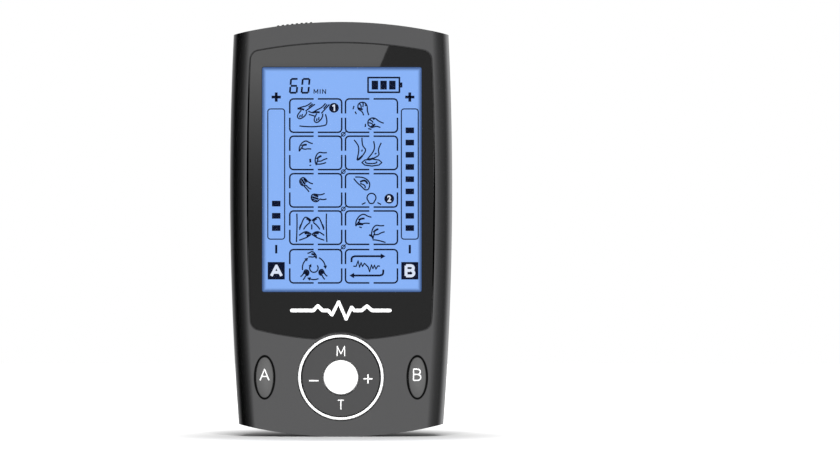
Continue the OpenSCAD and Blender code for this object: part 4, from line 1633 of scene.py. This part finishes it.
@dataclass
class Insides:
    """The CAD nodes that stay as they are, and the finish of each."""

    finishes: dict[str, Finish] = field(
        default_factory=lambda: {
            "lcd_holder": WHITE_POLYCARBONATE,
            "light_guide": LIGHT_GUIDE,
            "backlight_leds": LED_RESIN,
            "zebra_strip": CARBON_SILICONE,
            "main_pcb": BOARD,
            "key_mat": SILICONE,
            "carbon_pills": CARBON_SILICONE,
            "pad_collar": SILICONE,
            "power_lever": BLACK_ACETAL,
            "power_switch_body": NICKEL_STEEL,
            "jack_contacts": TINNED_BRASS,
            "battery": POUCH_FOIL,
            "battery_pad": FOAM,
            "battery_leads": PVC,
            "battery_connector": CREAM_NYLON,
            "output_transformers": FERRITE,
            "smoothing_capacitors": CAN_SLEEVE,
            "microcontroller": CHIP_EPOXY,
            "driver_chips": CHIP_EPOXY,
            "crystal": NICKEL_STEEL,
        }
    )

    def dress(self, nodes: dict[str, bpy.types.Object]) -> None:
        """Gives each node its finish.

        Args:
            nodes: The frame's CAD nodes by name.
        """
        for name, surface in self.finishes.items():
            nodes[name].data.materials.clear()
            nodes[name].data.materials.append(surface.material())
            LOG.info("%s: dressed as %s", name, surface.name)


# -------------------------------------------------------------------------------------------------- studio


@dataclass
class Studio:
    """A white studio: a pale floor, two soft lights and dark flags round a grey front.

    Attributes:
        aim: Where the camera's axis meets the unit's plane, across and up.
        distance_mm: How far the camera stands in front of that plane.
        frame_mm: Width that the picture takes in there.
        sensor_mm: Width of the camera's sensor.
        floor_r: Radius of the floor.
        painted_floor_glow: Distances from the unit at which the floor's painted glow starts and at which it is full
            white.
        sheen: Brightness of the card that the window mirrors.
    """

    aim: Point = (21.3, 54.05)
    distance_mm: float = 1600.0
    frame_mm: float = 227.0
    sensor_mm: float = 36.0
    floor_r: float = 900.0
    # Painted light: between these distances from the unit the floor's emission rises from none to full white
    painted_floor_glow: Point = (18.0, 80.0)
    sheen: float = 2.1

    def build(self, polished: Sequence[bpy.types.Object]) -> None:
        """Builds the floor, the lights, the surroundings and the camera.

        Args:
            polished: Pieces that mirror the lit card.
        """
        self.floor()
        self.lights()
        self.surroundings()
        card = self.sheen_card()
        receivers = bpy.data.collections.new("mirrors_the_card")
        for piece in polished:
            receivers.objects.link(piece)
        card.light_linking.receiver_collection = receivers
        self.camera()

    def floor(self) -> None:
        """Lays a plain pale floor, with painted light: an emission that brightens it away from the unit."""
        bm = bmesh.new()
        bmesh.ops.create_circle(bm, cap_ends=True, segments=96, radius=self.floor_r * MM)
        mesh = bpy.data.meshes.new("studio_floor")
        bm.to_mesh(mesh)
        bm.free()
        paint = Finish("matt_white_paint", "dcdcdc", 0.9, specular=0.0).material()
        tree = paint.node_tree
        # Painted light: the floor's emission grows with distance from the unit
        away = add_node(tree, "VectorMath", {"operation": "LENGTH"}, {0: Finish.place(tree)}).outputs["Value"]
        rise = {"Value": away, "From Min": self.painted_floor_glow[0] * MM, "From Max": self.painted_floor_glow[1] * MM}
        painted_floor_glow = add_node(tree, "MapRange", {"interpolation_type": "SMOOTHSTEP"}, rise)
        shader = tree.nodes["Principled BSDF"]
        shader.inputs["Emission Color"].default_value = (1.0, 1.0, 1.0, 1.0)
        tree.links.new(painted_floor_glow.outputs[0], shader.inputs["Emission Strength"])
        mesh.materials.append(paint)
        floor = bpy.data.objects.new("studio_floor", mesh)
        floor.visible_glossy = False
        bpy.context.scene.collection.objects.link(floor)

    def lights(self) -> None:
        """Hangs the soft key light in front, and a back light that reaches only the unit."""
        self.lamp("key_light", (0.1, -1.35, 1.0), 0.9, 38.0)
        back = self.lamp("back_light", (-0.7, 1.1, 0.9), 0.9, 26.0)
        unlit = bpy.data.collections.new("not_lit_from_behind")
        unlit.objects.link(bpy.data.objects["studio_floor"])
        back.light_linking.receiver_collection = unlit
        unlit.collection_objects[0].light_linking.link_state = "EXCLUDE"

    @staticmethod
    def lamp(name: str, place: Sequence[float], side: float, power: float) -> bpy.types.Object:
        """Hangs one square soft light, aimed at the unit.

        Args:
            name: Name of the light.
            place: Where it hangs, in metres.
            side: Length of its side, in metres.
            power: Its power, in watts.

        Returns:
            The light's object.
        """
        data = bpy.data.lights.new(name, "AREA")
        data.shape, data.size, data.energy = "SQUARE", side, power
        light = bpy.data.objects.new(name, data)
        light.location = place
        light.rotation_euler = (Vector((0, 0, 0.055)) - Vector(place)).to_track_quat("-Z", "Y").to_euler()
        light.visible_glossy = light.visible_camera = False
        bpy.context.scene.collection.objects.link(light)
        return light

    @staticmethod
    def surroundings() -> None:
        """Sets what the surfaces mirror: a soft grey front, dark flags all round it and a paler back."""
        world = bpy.data.worlds.new("studio")
        bpy.context.scene.world = world
        world.use_nodes = True
        tree = world.node_tree
        tree.nodes.clear()
        way = add_node(tree, "TexCoord", {}, {}).outputs["Generated"]
        parts = add_node(tree, "SeparateXYZ", {}, {0: way}).outputs
        found: dict[str, bpy.types.NodeSocket] = {axis: parts[axis] for axis in "XYZ"}
        ends = ("From Min", "From Max", "To Min", "To Max")
        bands: dict[str, tuple[str, Sequence[float]]] = {
            "reach": ("X", (-0.6, 0.6, -0.34, -0.58)),
            "tilted": ("up_or_down", (0.2, 0.42, 0.0, 1.0)),
            "aslant": ("left_or_right", (0.3, 0.55, 0.0, 1.0)),
            "frontal": ("Y", (-0.15, -0.6, 0.0, 0.28)),
            "back_left": ("Y", (0.1, 0.95, 0.0, 0.5)),
            "back_right": ("Y", (-0.25, 0.7, 0.0, 0.62)),
            "rightward": ("X", (0.2, 0.8, 0.0, 1.0)),
            "level_with": ("up_or_down", (0.35, 0.7, 1.0, 0.03)),
            "below": ("Z", (-0.5, -0.85, 0.0, 0.2)),
            "flank": ("X", (0.6, 1.0, 0.0, 0.05)),
        }
        sums: tuple[tuple[str, str, str | float, str | float], ...] = (
            ("up_or_down", "ABSOLUTE", "Z", 0.0),
            ("left_or_right", "ABSOLUTE", "X", 0.0),
            ("forward", "MULTIPLY", "Y", -1.0),
            ("aside", "ARCCOSINE", "forward", 0.0),
            *((name, "BAND", source, 0.0) for name, (source, _) in bands.items()),
            ("fall", "DIVIDE", "aside", "reach"),
            ("bloom", "EXPONENT", "fall", 0.0),
            ("front", "MULTIPLY", "bloom", 0.565),
            ("corners", "MULTIPLY", "tilted", "aslant"),
            ("quarters", "MULTIPLY", "corners", "frontal"),
            ("right_half", "MULTIPLY", "back_right", "rightward"),
            ("back", "ADD", "back_left", "right_half"),
            ("behind", "MULTIPLY", "back", "level_with"),
            ("fill", "ADD", "below", "flank"),
            ("ahead", "ADD", "front", "quarters"),
            ("rest", "ADD", "behind", "fill"),
            ("level", "ADD", "ahead", "rest"),
        )
        for name, operation, first, second in sums:
            if operation == "BAND":
                ranged = {"Value": found[first], **dict(zip(ends, bands[name][1]))}
                node = add_node(tree, "MapRange", {"interpolation_type": "SMOOTHSTEP"}, ranged)
            else:
                pair = {0: found[first], 1: found.get(second, second)}
                node = add_node(tree, "Math", {"operation": operation}, pair)
            found[name] = node.outputs[0]
        level = found["level"]
        seen = add_node(tree, "LightPath", {}, {}).outputs["Is Camera Ray"]
        shown = add_node(tree, "Mix", {"data_type": "RGBA"}, {0: seen, 6: level, 7: (1.0, 1.0, 1.0, 1.0)})
        glow = add_node(tree, "Background", {}, {"Color": shown.outputs[2], "Strength": 1.0})
        add_node(tree, "OutputWorld", {}, {"Surface": glow.outputs[0]})

    def sheen_card(self) -> bpy.types.Object:
        """Stands a small lit card behind the camera, whose slanting edge shows in the window's gloss.

        Returns:
            The card.
        """
        away = 2200.0
        throw = 1 + away / self.distance_mm

        def thrown(x: float, z: float) -> tuple[float, float, float]:
            """Gives the place on the card that a point of the window mirrors."""
            return (
                (x * throw - self.aim[0] * (throw - 1)) * MM,
                -away * MM,
                (z * throw - self.aim[1] * (throw - 1)) * MM,
            )

        bm = bmesh.new()
        outline = [(13.6, 108.5), (-40, 108.5), (-40, 54), (-0.7, 54)]
        bm.faces.new([bm.verts.new(thrown(*corner)) for corner in outline])
        mesh = bpy.data.meshes.new("sheen_card")
        bm.to_mesh(mesh)
        bm.free()
        lit = bpy.data.materials.new("lit_card")
        lit.use_nodes = True
        tree = lit.node_tree
        tree.nodes.clear()
        place = add_node(tree, "TexCoord", {}, {}).outputs["Object"]
        height = add_node(tree, "SeparateXYZ", {}, {0: place}).outputs["Z"]
        lit_part = {"Value": height, "From Min": thrown(0, 54)[2], "From Max": thrown(0, 99)[2]}
        fade = add_node(tree, "MapRange", {}, lit_part)
        steep = add_node(tree, "Math", {"operation": "POWER"}, {0: fade.outputs[0], 1: 2.0})
        level = add_node(tree, "Math", {"operation": "MULTIPLY"}, {0: steep.outputs[0], 1: self.sheen})
        glow = add_node(tree, "Emission", {}, {"Strength": level.outputs[0]})
        clear = add_node(tree, "BsdfTransparent", {}, {})
        both = add_node(tree, "AddShader", {}, {0: glow.outputs[0], 1: clear.outputs[0]})
        add_node(tree, "OutputMaterial", {}, {"Surface": both.outputs[0]})
        mesh.materials.append(lit)
        card = bpy.data.objects.new("sheen_card", mesh)
        card.visible_camera = card.visible_diffuse = card.visible_shadow = False
        bpy.context.scene.collection.objects.link(card)
        return card

    def camera(self) -> None:
        """Sets a long lens square on to the front."""
        data = bpy.data.cameras.new("camera")
        data.sensor_width = self.sensor_mm
        data.lens = self.sensor_mm * self.distance_mm / self.frame_mm
        data.clip_start, data.clip_end = 0.05, 50
        camera = bpy.data.objects.new("camera", data)
        camera.location = (self.aim[0] * MM, -self.distance_mm * MM, self.aim[1] * MM)
        camera.rotation_euler = (math.pi / 2, 0, 0)
        bpy.context.scene.collection.objects.link(camera)
        bpy.context.scene.camera = camera
        bpy.context.scene.view_settings.view_transform = "Standard"


def main() -> None:
    """Builds the whole visual model round the frame."""
    logging.basicConfig(level=logging.INFO, format="%(name)s: %(message)s")
    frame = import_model()
    front_low, front_high = (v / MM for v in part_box("front_shell"))
    back_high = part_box("back_shell")[1] / MM
    key_middle = sum(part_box("centre_button"), Vector()) / 2 / MM
    form = HousingForm(half_w=front_high.x, height=front_high.z)
    Casings(form, front_low.y, back_high.y, front_high.y, key_middle.z).build()
    Screen().build()
    polished = Window().build()
    DirectionPad(key_middle.z).build()
    ChannelKey("button_a", "A").build()
    ChannelKey("button_b", "B").build()
    Sockets().build()
    Insides().dress(frame["nodes"])
    Studio().build(polished)


if __name__ == "__main__":
    main()
